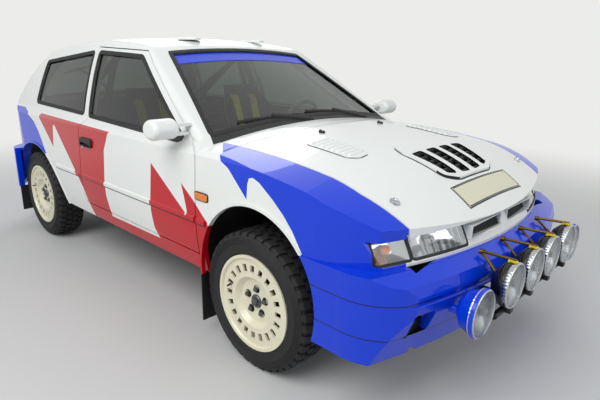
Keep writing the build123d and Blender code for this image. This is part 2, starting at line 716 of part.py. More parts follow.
def front_bumper_volume(inset, top, bottom):
    """The front bumper's face turned about an upright axis, cut by its outline from above."""
    axis_x = bumper_x - bumper_plan_radius
    far = bumper_plan_radius - inset
    outer = side_y + 3 - inset
    with BuildPart() as volume:
        with BuildSketch(Plane(origin=(axis_x, 0, 0), x_dir=(1, 0, 0), z_dir=(0, -1, 0))):
            with BuildLine():
                face = [(far - depth, z) for z, depth in front_bumper_face]
                Polyline((0, out), (face[0][0], out), *face)
                Polyline(face[-1], (face[-1][0], 0), (0, 0), (0, out))
            make_face()
        revolve(axis=Axis((axis_x, 0, 0), (0, 0, 1)))
        corner = (nose_x - 18 - inset, side_y - 134 - inset)
        with BuildSketch(Plane.XY.offset(bottom)):
            with BuildLine():
                Polyline((front_axle_x + 75, 0), (front_axle_x + 75, outer), (nose_x - 260, outer))
                shoulder = (nose_x - 95 - inset * 0.6, side_y - 39 - inset * 0.8)
                ThreePointArc((nose_x - 260, outer), shoulder, corner)
                Polyline(corner, (nose_x + 240, side_y - 234), (nose_x + 240, 0))
                mirror(about=Plane.XZ)
            make_face()
        extrude(amount=top - bottom, mode=Mode.INTERSECT)
    return volume.part


bumper_wall = 36
with BuildPart() as front_bumper:
    add(front_bumper_volume(0, nose_bottom_z, bumper_bottom_z))
    add(front_bumper_volume(bumper_wall, nose_bottom_z - 20, bumper_bottom_z - 20), mode=Mode.SUBTRACT)
    add(block(front_arch[0], out, -out, out, 0, nose_bottom_z), mode=Mode.INTERSECT)
    for grown, outer_y in ((0, side_y + 66), (house_wall + 1, side_y - 33.5)):
        arch_cut = arch_disc(front_arch, grown, side_y - 434, outer_y)
        add(arch_cut, mode=Mode.SUBTRACT)
        add(mirrored(arch_cut).part, mode=Mode.SUBTRACT)
    add(block(front_arch[0], frame_front_x, -nose_half, nose_half, 0, nose_bottom_z + 66), mode=Mode.SUBTRACT)
    with BuildSketch(Plane.YZ.offset(nose_x - 160)):
        with Locations((0, low_intake_z)):
            Rectangle(840, 110)
        with Locations((-side_y + 184, low_intake_z - 10), (side_y - 184, low_intake_z - 10)):
            Rectangle(100, 90)
        fillet(vertices(), radius=12)
    extrude(amount=400, mode=Mode.SUBTRACT)

rear_bumper_x = tail_x - 60
rear_bumper_top_z = tailgate_bottom_z - 10


def rear_bumper_volume(inset, top, bottom):
    """The rear bumper's outline from above, carried up, its face cut back over and under its widest line."""
    rear = rear_bumper_x + inset
    turn = (rear + 42, side_y - 254 - inset * 0.5)
    side_end = (rear_bumper_x + 290 + inset, side_y - inset)
    with BuildPart() as volume:
        with BuildSketch(Plane.XY.offset(bottom)):
            with BuildLine():
                ThreePointArc((rear, 0), (rear + 10, 300), turn)
                ThreePointArc(turn, (rear + 120, side_y - 72 - inset), side_end)
                Polyline(side_end, (rear_axle_x - 95, side_y + 3 - inset), (rear_axle_x - 95, 0))
                mirror(about=Plane.XZ)
            make_face()
        extrude(amount=top - bottom)
        with BuildSketch(Plane.XZ.offset(-out)):
            with BuildLine():
                top = rear_bumper_top_z
                Polyline((rear + 26, out), (rear + 26, top), (rear, top - 34), (rear, 440))
                Polyline((rear, 440), (rear + 40, bumper_bottom_z), (rear + 40, 0), (out, 0), (out, out))
                Line((out, out), (rear + 26, out))
            make_face()
        extrude(amount=2 * out, mode=Mode.INTERSECT)
    return volume.part


with BuildPart() as rear_bumper:
    add(rear_bumper_volume(0, rear_bumper_top_z, bumper_bottom_z))
    add(rear_bumper_volume(bumper_wall, rear_bumper_top_z - 20, bumper_bottom_z - 20), mode=Mode.SUBTRACT)
    add(block(-out, bumper_end_x - 2, -out, out, 0, nose_bottom_z + 66), mode=Mode.INTERSECT)
    add(cabin_outside, mode=Mode.SUBTRACT)

with BuildPart() as tail_lamp_right:
    add(cabin_outside)
    add(body_volume(cabin_profile, cabin_crown_z, side_wall, side_wall), mode=Mode.SUBTRACT)
    low, high = tail_lamp_low_z + seat_gap, tail_lamp_high_z - seat_gap
    add(block(-out, tail_x + 175 - seat_gap, -out, -lamp_inner_y - seat_gap, low, high), mode=Mode.INTERSECT)
tail_lamps = right_and_left(tail_lamp_right.part)


# Structure under the panels
floor_top = sill_z + floor_wall
boot_top = boot_floor_z + floor_wall
rear_house_y = side_y - 282
front_house_y = side_y - 364
boot_step = (rear_axle_x + 325, rear_axle_x + 225)
with BuildPart() as tail_wall:
    add(block(-out, tail_x + 175, -out, out, sill_z + 50, sill_z + 290))
    add(inside_tail, mode=Mode.SUBTRACT)
with BuildPart() as floor_pan:
    with BuildSketch(Plane.XZ.offset(-floor_y)):
        with BuildLine():
            Polyline((scuttle_x, sill_z), (boot_step[0], sill_z), (boot_step[1], boot_floor_z))
            Polyline((boot_step[1], boot_floor_z), (tail_x + 53, boot_floor_z), (tail_x + 53, boot_top))
            Polyline((tail_x + 53, boot_top), (boot_step[1] + 10, boot_top), (boot_step[0] + 12, floor_top))
            Polyline((boot_step[0] + 12, floor_top), (scuttle_x, floor_top), (scuttle_x, sill_z))
        make_face()
    extrude(amount=2 * floor_y)
    with BuildSketch(Plane.YZ.offset(boot_step[0] - 20)):
        with Locations((0, sill_z)):
            SlotOverall(320, 240)
    extrude(amount=scuttle_x - boot_step[0] - 10)
    with BuildSketch(Plane.YZ.offset(boot_step[1] - 20)):
        with Locations((0, sill_z)):
            SlotOverall(290, 210)
    extrude(amount=scuttle_x - boot_step[1] + 100, mode=Mode.SUBTRACT)
    add(block(boot_step[0] - 20, scuttle_x, -400, 400, 0, sill_z), mode=Mode.SUBTRACT)
    reach = rear_arch[2] + house_wall + 8
    for side in (-1, 1):
        inner_edge, outer_edge = sorted((side * (rear_house_y - 1), side * out))
        middle = rear_arch[0]
        add(block(middle - reach, middle + reach, inner_edge, outer_edge, 0, 700), mode=Mode.SUBTRACT)
        inner_edge, outer_edge = sorted((side * nose_half, side * out))
        add(block(-out, bumper_end_x + 2, inner_edge, outer_edge, 0, 700), mode=Mode.SUBTRACT)
    add(tail_wall.part, mode=Mode.SUBTRACT)


def wheelhouse(arch, y0, y1, low):
    """A wheel's housing: an arched liner with a flat inner wall, open outwards and below."""
    x, z, radius = arch
    with BuildPart() as house:
        add(arch_disc(arch, house_wall, y0, y1))
        add(arch_disc(arch, 0, y0 + house_wall, y1 + 1), mode=Mode.SUBTRACT)
        add(block(x - 600, x + 600, -out, 0, -out, low), mode=Mode.SUBTRACT)
    return house.part


strut_y = steer_y - 145
tower_foot_z = front_arch[1] + front_arch[2] - 4
tower_top_z = tower_foot_z + 117
with BuildPart() as front_house_right:
    add(wheelhouse(front_arch, front_house_y, side_y - 36, floor_top - 1))
    add(body_volume(front_profile, bonnet_crown_z, panel_wall, panel_wall + seat_gap), mode=Mode.INTERSECT)
    with BuildSketch(Plane.XY.offset(tower_foot_z)):
        with Locations((front_axle_x, -strut_y)):
            Circle(76)
    extrude(amount=tower_top_z - tower_foot_z)
    with BuildSketch(Plane.XY.offset(tower_foot_z - 55)):
        with Locations((front_axle_x, -strut_y)):
            Circle(76 - house_wall)
    extrude(amount=tower_top_z - house_wall - tower_foot_z + 55, mode=Mode.SUBTRACT)
with BuildPart() as rear_house_right:
    add(wheelhouse(rear_arch, rear_house_y, side_y, sill_z + 50))
    add(body_volume(cabin_profile, cabin_crown_z, side_wall, side_wall + seat_gap), mode=Mode.INTERSECT)
with BuildPart() as wheel_houses:
    add(front_house_right.part)
    add(rear_house_right.part)
    mirror(front_house_right.part, about=Plane.XZ)
    mirror(rear_house_right.part, about=Plane.XZ)

rail_y = front_house_y - 45
rail_z = sill_z + 80
crossbar_x = frame_front_x - 65
rest_x = frame_front_x - 50
with BuildPart() as bonnet_rests:
    with BuildSketch(Plane.XY.offset(lamp_top_z - 38)):
        with Locations((rest_x, -250), (rest_x, 250)):
            Circle(12)
    extrude(amount=300)
    add(body_volume(front_profile, bonnet_crown_z, panel_wall + seat_gap, panel_wall), mode=Mode.INTERSECT)
with BuildPart() as front_frame:
    for side in (-1, 1):
        with BuildSketch(Plane.YZ.offset(scuttle_x)):
            with Locations((side * rail_y, rail_z)):
                Rectangle(68, 90)
        extrude(amount=frame_front_x - scuttle_x)
        with BuildSketch(Plane.XY.offset(rail_z - 45)):
            with Locations((rest_x, side * 250)):
                Rectangle(30, 50)
        extrude(amount=grille_z + 20 - rail_z + 45)
    with BuildSketch(Plane.YZ.offset(crossbar_x)):
        with Locations((0, grille_z)):
            Rectangle(580, 50)
    extrude(amount=30)
    add(block(crossbar_x, frame_front_x, -rail_y - 34, rail_y + 34, rail_z - 45, rail_z + 10))
    add(bonnet_rests.part)

radiator_x = crossbar_x - 55
with BuildPart() as radiator:
    with BuildSketch(Plane.YZ.offset(radiator_x)):
        with Locations((0, grille_z - 125)):
            Rectangle(620, 250)
        fillet(vertices(), radius=15)
    extrude(amount=42)
    for side in (-1, 1):
        middle = side * 200
        pad = block(radiator_x + 42, crossbar_x - seat_gap, middle - 20, middle + 20, grille_z - 20, grille_z)
        add(pad)

rail_top_z = rail_z + 45
with BuildPart() as engine_block:
    with BuildSketch(Plane.XY.offset(sill_z - 5)):
        with Locations((front_axle_x + 125, 0)):
            Rectangle(440, 640)
        fillet(vertices(), radius=40)
    extrude(amount=470)
    chamfer(faces().sort_by(Axis.Z)[-1].edges(), length=30)
    add(block(front_axle_x + 75, front_axle_x + 165, -440, 440, rail_top_z + seat_gap, rail_top_z + 45))

# Running gear, hung on the wheels' height
arm_low_z = tyre_radius - 144
arm_high_z = tyre_radius - 120
pin_radius = 11
pin_low_z = tyre_radius + 106
strut_foot_z = tyre_radius + 126


def running_gear(axle_x, pivot_z, arm_end, strut_place, strut_low, strut_top, shaft_end):
    """The right half of a wheel's suspension: lower arm, strut and drive shaft."""
    with BuildPart() as half:
        with BuildSketch(Plane.YZ.offset(axle_x - 28)):
            with BuildLine():
                Polyline((-300, pivot_z), (-300, pivot_z + 45), (-400, pivot_z + 45), (-640, arm_high_z))
                Polyline((-640, arm_high_z), (-arm_end, arm_high_z), (-arm_end, arm_low_z), (-640, arm_low_z))
                Line((-640, arm_low_z), (-300, pivot_z))
            make_face()
        extrude(amount=56)
        with BuildSketch(Plane.XY.offset(strut_low)):
            with Locations((axle_x, -strut_place)):
                Circle(27)
        extrude(amount=strut_top - strut_low)
        with BuildSketch(Plane.XZ.offset(100)):
            with Locations((axle_x, tyre_radius)):
                Circle(15)
        extrude(amount=shaft_end - 100)
    return half.part


with BuildPart() as front_gear_right:
    strut_end = tower_top_z - house_wall - seat_gap
    arm_y = steer_y + 23
    add(running_gear(front_axle_x, tyre_radius - 80, arm_y, strut_y, strut_foot_z, strut_end, steer_y - 103))
    with BuildSketch(Plane.XY.offset(tower_foot_z - 103)):
        with Locations((front_axle_x, -strut_y)):
            Circle(54)
    extrude(amount=190)
    add(block(front_axle_x - 26, front_axle_x + 26, -steer_y - 23, -strut_y, strut_foot_z, strut_foot_z + 22))
    for low, high in ((pin_low_z, strut_foot_z + 10), (arm_low_z, arm_high_z + 16)):
        with BuildSketch(Plane.XY.offset(low)):
            with Locations((front_axle_x, -steer_y)):
                Circle(pin_radius)
        extrude(amount=high - low)
rail_low_z = rail_z - 45
with BuildPart() as front_suspension:
    add(front_gear_right.part)
    mirror(front_gear_right.part, about=Plane.XZ)
    add(block(front_axle_x - 90, front_axle_x + 70, -400, 400, tyre_radius - 88, tyre_radius + 10))
    for inner_edge in (-440, 380):
        top = rail_low_z - seat_gap
        add(block(front_axle_x - 60, front_axle_x - 10, inner_edge, inner_edge + 60, tyre_radius - 30, top))

with BuildPart() as rear_gear_right:
    strut_reach = rear_arch[1] + rear_arch[2] - 1.8
    add(running_gear(rear_axle_x, tyre_radius - 20, 700, 590, tyre_radius + 80, strut_reach, rear_wheel_y - 60))
    add(block(rear_axle_x - 28, rear_axle_x + 28, -640, -560, tyre_radius + 80, tyre_radius + 120))
    add(block(rear_axle_x - 28, rear_axle_x + 28, -690, -640, arm_low_z, tyre_radius + 120))
    with BuildSketch(Plane.XZ.offset(rear_wheel_y - 105)):
        with Locations((rear_axle_x, tyre_radius)):
            Circle(48)
    extrude(amount=115)
differential_foot_z = sill_z - 122
with BuildPart() as rear_suspension:
    add(rear_gear_right.part)
    mirror(rear_gear_right.part, about=Plane.XZ)
    add(block(rear_axle_x - 80, rear_axle_x + 80, -400, 400, tyre_radius - 20, tyre_radius + 60))
    with BuildSketch(Plane.XY.offset(differential_foot_z)):
        with Locations((rear_axle_x, 0)):
            Rectangle(240, 220)
        fillet(vertices(), radius=40)
    extrude(amount=boot_floor_z - seat_gap - differential_foot_z)

hub_radius = 44
disc_radius = 114
with BuildPart() as knuckle_right:
    with BuildSketch(Plane.XZ.offset(steer_y - 65)):
        with Locations((front_axle_x, tyre_radius)):
            Circle(hub_radius)
    extrude(amount=front_wheel_y + 10 - steer_y + 65)
    with BuildSketch(Plane.XZ.offset(steer_y - 43)):
        with Locations((front_axle_x, tyre_radius)):
            Circle(disc_radius)
    extrude(amount=22)
    low, high = arm_high_z + 16 + seat_gap, pin_low_z - seat_gap
    with BuildSketch(Plane.XY.offset(low)):
        with Locations((front_axle_x, -steer_y)):
            Rectangle(60, 36)
    extrude(amount=high - low)
    with BuildSketch(Plane.XY.offset(tyre_radius - 80)):
        with BuildLine():
            near, far = front_axle_x - 20, front_axle_x - 140
            Polyline((near, -steer_y + 55), (near, -steer_y + 25), (far, -steer_y + 65))
            Polyline((far, -steer_y + 65), (far - 10, -steer_y + 95), (near, -steer_y + 55))
        make_face()
    extrude(amount=24)
knuckle_left = mirrored(knuckle_right.part)

# Wheels. The rim's half section in two runs, as height over the rim's radius and distance out from the
# wheel's middle, and between them the disc's, as radius and distance out
rim_radius = tyre_radius - 102
rim_front = [
    (-13, -94), (0, -94), (0, -86), (-11, -80), (-15, -40), (-30, -24), (-30, 20), (-15, 40), (-11, 80),
    (0, 86), (0, 94), (-13, 94), (-19, 84), (-34, 84),
]
disc_section = [(118, 84), (98, 62), (30, 58), (30, 10), (72, 10), (72, 50), (104, 52), (124, 74)]
rim_back = [(-26, 74), (-22, 60), (-38, 24), (-38, -30)]
slot_count = 20
# Tyre's half section as depth under the tread and distance in from the side wall
tyre_section = [
    (112, 17), (100.5, 8), (88, 1), (68, -1), (48, 0), (28, 4), (14, 10), (5, 17), (2, 28), (0.5, 60), (0, 95),
]


def wheel_plane(x, y, side):
    """The plane of a wheel's half profile: radius up, distance out from the car along its first axis."""
    return Plane(origin=(x, side * y, tyre_radius), x_dir=(0, side, 0), z_dir=(side, 0, 0))


def make_rim(x, y, side):
    face = Plane(origin=(x, side * y, tyre_radius), x_dir=(1, 0, 0), z_dir=(0, side, 0))
    with BuildPart() as rim:
        with BuildSketch(wheel_plane(x, y, side)):
            with BuildLine():
                front = [(away, rim_radius + height) for height, away in rim_front]
                disc = [(away, radius) for radius, away in disc_section]
                back = [(away, rim_radius + height) for height, away in rim_back]
                Polyline(*front, *disc, *back, close=True)
            make_face()
        revolve(axis=Axis((x, side * y, tyre_radius), (0, 1, 0)))
        with BuildSketch(face):
            with PolarLocations(rim_radius - 60, slot_count):
                Rectangle(34, 24)
        extrude(amount=100, mode=Mode.SUBTRACT)
        with BuildSketch(face.offset(10)):
            Circle(45)
        extrude(amount=49)
    return rim


def make_tyre(x, y, side):
    half = tyre_width / 2
    outer = [(half - away, tyre_radius - depth) for depth, away in tyre_section[:-1]]
    crown = [(0, tyre_radius)]
    inner = [(-away, radius) for away, radius in reversed(outer)]
    with BuildPart() as tyre:
        with BuildSketch(wheel_plane(x, y, side)):
            with BuildLine():
                Polyline(*outer, *crown, *inner, close=True)
            make_face()
        revolve(axis=Axis((x, side * y, tyre_radius), (0, 1, 0)))
    return tyre


rims, tyres = {}, {}
for end, x, y in (("front", front_axle_x, front_wheel_y), ("rear", rear_axle_x, rear_wheel_y)):
    for hand, side in (("right", -1), ("left", 1)):
        rims[f"{end}_{hand}"] = make_rim(x, y, side)
        tyres[f"{end}_{hand}"] = make_tyre(x, y, side)

# Underside
pipe_z = sill_z - 58
pipe_low_z = sill_z - 88
pipe_start = (front_axle_x - 225, -60, pipe_z)
pipe_route = [
    pipe_start, (rear_axle_x + 355, -60, pipe_z), (rear_axle_x + 205, -190, pipe_low_z),
    (rear_axle_x - 175, -190, pipe_low_z), (rear_axle_x - 335, -480, pipe_low_z),
    (tail_x - 15, -480, pipe_low_z),
]
with BuildPart() as exhaust:
    with BuildLine() as exhaust_line:
        FilletPolyline(*pipe_route, radius=60)
    with BuildSketch(Plane(origin=pipe_start, z_dir=(-1, 0, 0))):
        Circle(30)
    sweep(path=exhaust_line.wire())
    with BuildSketch(Plane.YZ.offset(tail_x + 45)):
        with Locations((-480, pipe_low_z)):
            Ellipse(120, 62)
    extrude(amount=240)
    add(block(0, 30, -66, -54, pipe_z + 8, sill_z + 101.4))

guard_wall = 9.7
guard_low_z = 222
with BuildPart() as sump_guard:
    with BuildSketch(Plane.XZ.offset(-340)):
        with BuildLine():
            rear, bend = front_axle_x - 225, nose_x - 360
            guard_top_z = guard_low_z + guard_wall
            Polyline((frame_front_x, sill_z + 22), (bend, guard_low_z), (rear, guard_low_z))
            Line((rear, guard_low_z), (rear, guard_top_z))
            Polyline((rear, guard_low_z + guard_wall), (bend - 3, guard_low_z + guard_wall))
            Polyline((bend - 3, guard_top_z), (frame_front_x - 3, sill_z + 34), (frame_front_x, sill_z + 22))
        make_face()
    extrude(amount=680)

flap_wall = 7
flap_low_z = 96
with BuildPart() as mud_flap_right:
    flap_x = scuttle_x + 19
    add(block(flap_x, flap_x + flap_wall, -side_y + 2, -side_y + 184, flap_low_z, sill_z - seat_gap))
    flap_x = bumper_end_x - 16
    add(block(flap_x, flap_x + flap_wall, -side_y + 8, -side_y + 184, flap_low_z, bumper_bottom_z - seat_gap))
mud_flaps = right_and_left(mud_flap_right.part)

# Lamps in front of the bumper: half a row of places across the car, each row at its height
spot_x = bumper_x + 92
spot_z = 543
spot_places = [(y, spot_z) for y in (-311, -101, 101, 311)]
low_x = bumper_x + 64
low_z = 490
low_places = [(-507, low_z), (507, low_z)]
lens_wall = 5.7
spot_lens_radius = 81.7
low_lens_radius = 83.7
bulb_radius = 9


def lamp_bowl(x, y, z, lens_radius, depth):
    """A round lamp: a deep pressed bowl with a rolled rim, hollow to its reflector, and a bulb on its axis."""
    bore = lens_radius + seat_gap
    with BuildPart() as bowl:
        with BuildSketch(Plane(origin=(x, y, z), x_dir=(-1, 0, 0), z_dir=(0, -1, 0))):
            with BuildLine():
                Polyline((6, bore - 6), (6, bore), (0, bore + 4), (4, bore + 9), (17, bore + 9), (22, bore + 4))
                Polyline((22, bore + 4), (depth - 20, bore - 12), (depth, bore - 38), (depth, 0), (30, 0))
                Polyline((30, 0), (30, bulb_radius), (depth - 10, bulb_radius), (depth - 12, 24))
                ThreePointArc((depth - 12, 24), (depth - 28, bore - 30), (6, bore - 6))
            make_face()
        revolve(axis=Axis((x, y, z), (1, 0, 0)))
    return bowl.part


with BuildPart() as spot_lamps:
    for y, z in spot_places:
        add(lamp_bowl(spot_x, y, z, spot_lens_radius, 82))
with BuildPart() as low_lamps:
    for y, z in low_places:
        add(lamp_bowl(low_x, y, z, low_lens_radius, 84))
        add(round_bar((nose_x, y, z - 20), (bumper_x - 2, y, z - 20), 16))
    add(front_bumper_volume(-seat_gap, nose_bottom_z, bumper_bottom_z), mode=Mode.SUBTRACT)
with BuildPart() as lamp_lenses:
    for x, places, radius in ((spot_x, spot_places, spot_lens_radius), (low_x, low_places, low_lens_radius)):
        for y, z in places:
            dome_radius = (radius**2 + 36) / 12
            half_way = 5 - dome_radius + sqrt(dome_radius**2 - radius**2 / 4)
            with BuildSketch(Plane(origin=(x, y, z), x_dir=(1, 0, 0), z_dir=(0, -1, 0))):
                with BuildLine():
                    Polyline((5, 0), (-lens_wall, 0), (-lens_wall, radius), (-1, radius))
                    ThreePointArc((-1, radius), (half_way, radius / 2), (5, 0))
                make_face()
            revolve(axis=Axis((x, y, z), (1, 0, 0)))
bar_x = spot_x - 36
bar_z = spot_z - 106
bar_radius = 13
lamp_foot_z = spot_z - spot_lens_radius - seat_gap - 9
with BuildPart() as lamp_bracket:
    with BuildSketch(Plane.XZ.offset(-400)):
        with Locations((bar_x, bar_z)):
            Circle(bar_radius)
    extrude(amount=800)
    for y, z in spot_places:
        add(block(spot_x - 22, spot_x - 4, y - 14, y + 14, bar_z - 7, lamp_foot_z - seat_gap))
        add(block(bar_x - 2, spot_x - 4, y - 14, y + 14, bar_z - 7, bar_z + 7))
    for y in (-205, 205):
        add(block(frame_front_x + 9, bar_x + 2, y - 15, y + 15, bar_z - 10, bar_z + 10))
        add(block(frame_front_x, frame_front_x + 10, y - 15, y + 15, rail_z - 25, bar_z + 10))
strut_root = (nose_x + 24, nose_bottom_z + 2)
with BuildPart() as lamp_struts:
    for y, z in spot_places:
        strut_way = Vector(138, y * 0.04, 5)
        with BuildSketch(Plane(origin=(strut_root[0], y * 0.96, strut_root[1]), z_dir=strut_way)):
            Circle(6)
        extrude(amount=strut_way.length)

with BuildPart() as roof_vents:
    with BuildSketch(Plane.XY.offset(roof_z - 21)):
        with Locations((screen_top_x - 173, -256), (screen_top_x - 173, 256)):
            Ellipse(95, 58)
    extrude(amount=14)
    fillet(faces().sort_by(Axis.Z)[-2:].edges(), radius=7)
    add(body_volume(cabin_profile, cabin_crown_z, -seat_gap, -60), mode=Mode.SUBTRACT)

# Door mirrors: a rounded shell on a forked arm
mirror_middle = (screen_foot_x - 102, belt_z + 56)
with BuildPart() as mirror_right:
    with BuildSketch(Plane.XZ.offset(side_y - 8)):
        with Locations(mirror_middle):
            Ellipse(62, 48)
    extrude(amount=134)
    fillet(edges(), radius=24)
    for rise in (-30, 12):
        with BuildSketch(Plane.XZ.offset(side_y - 98)):
            with Locations((mirror_middle[0] - 10, mirror_middle[1] + rise)):
                Rectangle(34, 14)
        extrude(amount=110)
    add(body_volume(cabin_profile, cabin_crown_z, -seat_gap, -seat_gap), mode=Mode.SUBTRACT)
mirror_left = mirrored(mirror_right.part)

# Roll cage: each tube of the right half by its two ends
tube_radius = 21
cage_y = side_y - 194
cage_top = roof_z - 109
foot_rise = tube_radius * ball_ratio + seat_gap
stay_x = rear_axle_x - 115
cage_side = [
    ((hoop_x, -cage_y, floor_top + foot_rise), (hoop_x, -cage_y, belt_z - 66)),
    ((hoop_x, -cage_y, belt_z - 66), (hoop_x, -roof_half + 48, cage_top)),
    ((hoop_x, -roof_half + 48, cage_top), (screen_top_x - 66, -roof_half + 68, cage_top - 10)),
    ((screen_top_x - 66, -roof_half + 68, cage_top - 10), (scuttle_x - 185, -cage_y + 20, belt_z + 19)),
    ((scuttle_x - 185, -cage_y + 20, belt_z + 19), (scuttle_x - 105, -cage_y, sill_z + 350)),
    ((scuttle_x - 105, -cage_y, sill_z + 350), (scuttle_x - 105, -cage_y, floor_top + foot_rise)),
    ((hoop_x, -cage_y, sill_z + 210), (scuttle_x - 105, -cage_y, sill_z + 350)),
    ((hoop_x, -roof_half + 58, cage_top - 22), (stay_x, -roof_half + 48, belt_z - 66)),
    ((stay_x, -roof_half + 48, belt_z - 66), (stay_x - 80, -roof_half + 48, boot_top + foot_rise)),
]
with BuildPart() as roll_cage:
    for start, end in cage_side:
        add(round_bar(start, end, tube_radius))
        add(round_bar((start[0], -start[1], start[2]), (end[0], -end[1], end[2]), tube_radius))
    add(round_bar((hoop_x, -roof_half + 48, cage_top), (hoop_x, roof_half - 48, cage_top), tube_radius))
    front_top = (screen_top_x - 66, roof_half - 68, cage_top - 10)
    add(round_bar((front_top[0], -front_top[1], front_top[2]), front_top, tube_radius))
    add(round_bar((hoop_x, -cage_y, floor_top + 65), (hoop_x, roof_half - 48, cage_top), tube_radius))
    add(round_bar((hoop_x, -cage_y, belt_z - 66), (hoop_x, cage_y, belt_z - 66), tube_radius))

# Bucket seats in the side view, from a point ahead of the main hoop: shell, then the sitter's hollow
seat_x = hoop_x + 560
seat_y = 390
seat_half = 215
hollow_half = 165
seat_shell = [(180, 400), (210, 560), (-200, 560), (-420, 1160), (-500, 1130), (-330, 400)]
seat_hollow = [
    (260, 500), (-190, 470), (-255, 520), (-440, 1000), (-460, 1250), (-200, 1250), (0, 600), (260, 600),
]
with BuildPart() as seats:
    for side in (-1, 1):
        middle = side * seat_y
        with BuildSketch(Plane.XZ.offset(-(middle + seat_half))):
            with BuildLine():
                Polyline(*[(seat_x + x, z - 375 + floor_top) for x, z in seat_shell], close=True)
            make_face()
            fillet(vertices(), radius=25)
        extrude(amount=2 * seat_half)
        with BuildSketch(Plane.XZ.offset(-(middle + hollow_half))):
            with BuildLine():
                Polyline(*[(seat_x + x, z - 375 + floor_top) for x, z in seat_hollow], close=True)
            make_face()
        extrude(amount=2 * hollow_half, mode=Mode.SUBTRACT)
        low, high = floor_top + seat_gap, floor_top + 27
        add(block(seat_x - 250, seat_x + 120, middle - 170, middle + 170, low, high))

# Steering wheel and dashboard
column_tilt = radians(22)
wheel_centre = (scuttle_x - 490, 360, belt_z - 61)
wheel_rim_radius = 168
grip_radius = 14
hub_depth = 29.5
column_way = Vector(-cos(column_tilt), 0, sin(column_tilt))
with BuildPart() as steering_wheel:
    on_wheel = Plane(origin=wheel_centre, x_dir=(0, 1, 0), z_dir=column_way)
    with BuildSketch(on_wheel.offset(-hub_depth)):
        Circle(42)
    extrude(amount=hub_depth + 2)
    with BuildSketch(on_wheel.offset(-8)):
        with PolarLocations(88, 3, start_angle=90):
            Rectangle(150, 28)
    extrude(amount=6)
    across = Plane(origin=wheel_centre, x_dir=(0, 1, 0), z_dir=(sin(column_tilt), 0, cos(column_tilt)))
    with BuildSketch(across):
        with Locations((wheel_rim_radius, 0)):
            Circle(grip_radius)
    revolve(axis=Axis(wheel_centre, column_way))
dash_section = [(-45, -326), (-45, -41), (-185, -21), (-305, -36), (-335, -116), (-275, -206), (-245, -326)]
column_near = Vector(*wheel_centre) - column_way * 51.8
with BuildPart() as dashboard:
    with BuildSketch(Plane.XZ.offset(-590)):
        with BuildLine():
            Polyline(*[(scuttle_x + x, belt_z + z) for x, z in dash_section], close=True)
        make_face()
        fillet(vertices().group_by(Axis.X)[0], radius=20)
    extrude(amount=1180)
    bulkhead_face = scuttle_x - roof_wall - seat_gap
    add(block(scuttle_x - 46, bulkhead_face, -300, 300, belt_z - 266, belt_z - 66))
    with BuildSketch(Plane(origin=column_near, z_dir=-column_way)):
        Circle(22)
    extrude(amount=160)


def over_skin(low, high, plan):
    """What a plan outline cuts from the layer between two heights over the cabin's skin."""
    with BuildPart() as layer:
        add(body_volume(cabin_profile, cabin_crown_z, -high, -high))
        add(body_volume(cabin_profile, cabin_crown_z, -low, -low), mode=Mode.SUBTRACT)
        add(prism_up(plan, belt_z - 66, roof_z), mode=Mode.INTERSECT)
    return layer.part


# Wipers: each spindle's place across the car, with its blade on the glass and its arm over it
wiper_spindles = (-20, 480)
with BuildPart() as wipers:
    for middle in wiper_spindles:
        foot = screen_foot_x
        blade = [
            (foot - 26, middle - 10), (foot - 16, middle - 12),
            (foot - 40, middle - 470), (foot - 50, middle - 468),
        ]
        arm = [
            (foot + 18, middle + 12), (foot + 40, middle + 8),
            (foot - 26, middle - 246), (foot - 40, middle - 242),
        ]
        add(over_skin(seat_gap - glass_inset, 1, blade))
        add(over_skin(seat_gap, 10, arm))

pieces = {
    "roof": roof, "bulkhead": bulkhead, "windscreen": windscreen,
    "side_frame_right": side_frame_right, "side_frame_left": side_frame_left,
    "rear_panel": rear_panel, "door_right": door_right, "door_left": door_left,
    "door_handle_right": door_handle_right, "door_handle_left": door_handle_left,
    "door_glass_right": door_glass_right, "door_glass_left": door_glass_left,
    "quarter_windows": quarter_windows, "tailgate": tailgate, "tailgate_glass": tailgate_glass,
    "bonnet": bonnet, "bonnet_vents": bonnet_vents, "vent_blades": vent_blades,
    "wing_right": wing_right, "wing_left": wing_left, "headlamps": headlamps,
    "nose_panel": nose_panel, "grille_mesh": grille_mesh, "front_bumper": front_bumper,
    "rear_bumper": rear_bumper, "tail_lamps": tail_lamps, "floor_pan": floor_pan,
    "wheel_houses": wheel_houses, "front_frame": front_frame, "radiator": radiator,
    "engine_block": engine_block, "front_suspension": front_suspension,
    "rear_suspension": rear_suspension, "knuckle_right": knuckle_right,
    "knuckle_left": knuckle_left, "exhaust": exhaust, "sump_guard": sump_guard,
    "mud_flaps": mud_flaps, "spot_lamps": spot_lamps, "low_lamps": low_lamps,
    "lamp_lenses": lamp_lenses, "lamp_bracket": lamp_bracket, "lamp_struts": lamp_struts,
    "roof_vents": roof_vents, "mirror_right": mirror_right, "mirror_left": mirror_left,
    "roll_cage": roll_cage, "seats": seats, "steering_wheel": steering_wheel,
    "dashboard": dashboard, "wipers": wipers,
}
for place in rims:
    pieces[f"rim_{place}"] = rims[place]
    pieces[f"tyre_{place}"] = tyres[place]
for name, piece in pieces.items():
    piece.part.label = name
    export_step(piece.part, f"parts/{name}.step")
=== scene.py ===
"""Looks of a three-door rally car: its livery, tyres, lamps, glass, trim and cabin, in the car's own
frame and in metres."""
import math

import bmesh
import bpy
import numpy as np
from bpy.props import FloatProperty, FloatVectorProperty, IntProperty, PointerProperty
from mathutils import Matrix, Vector


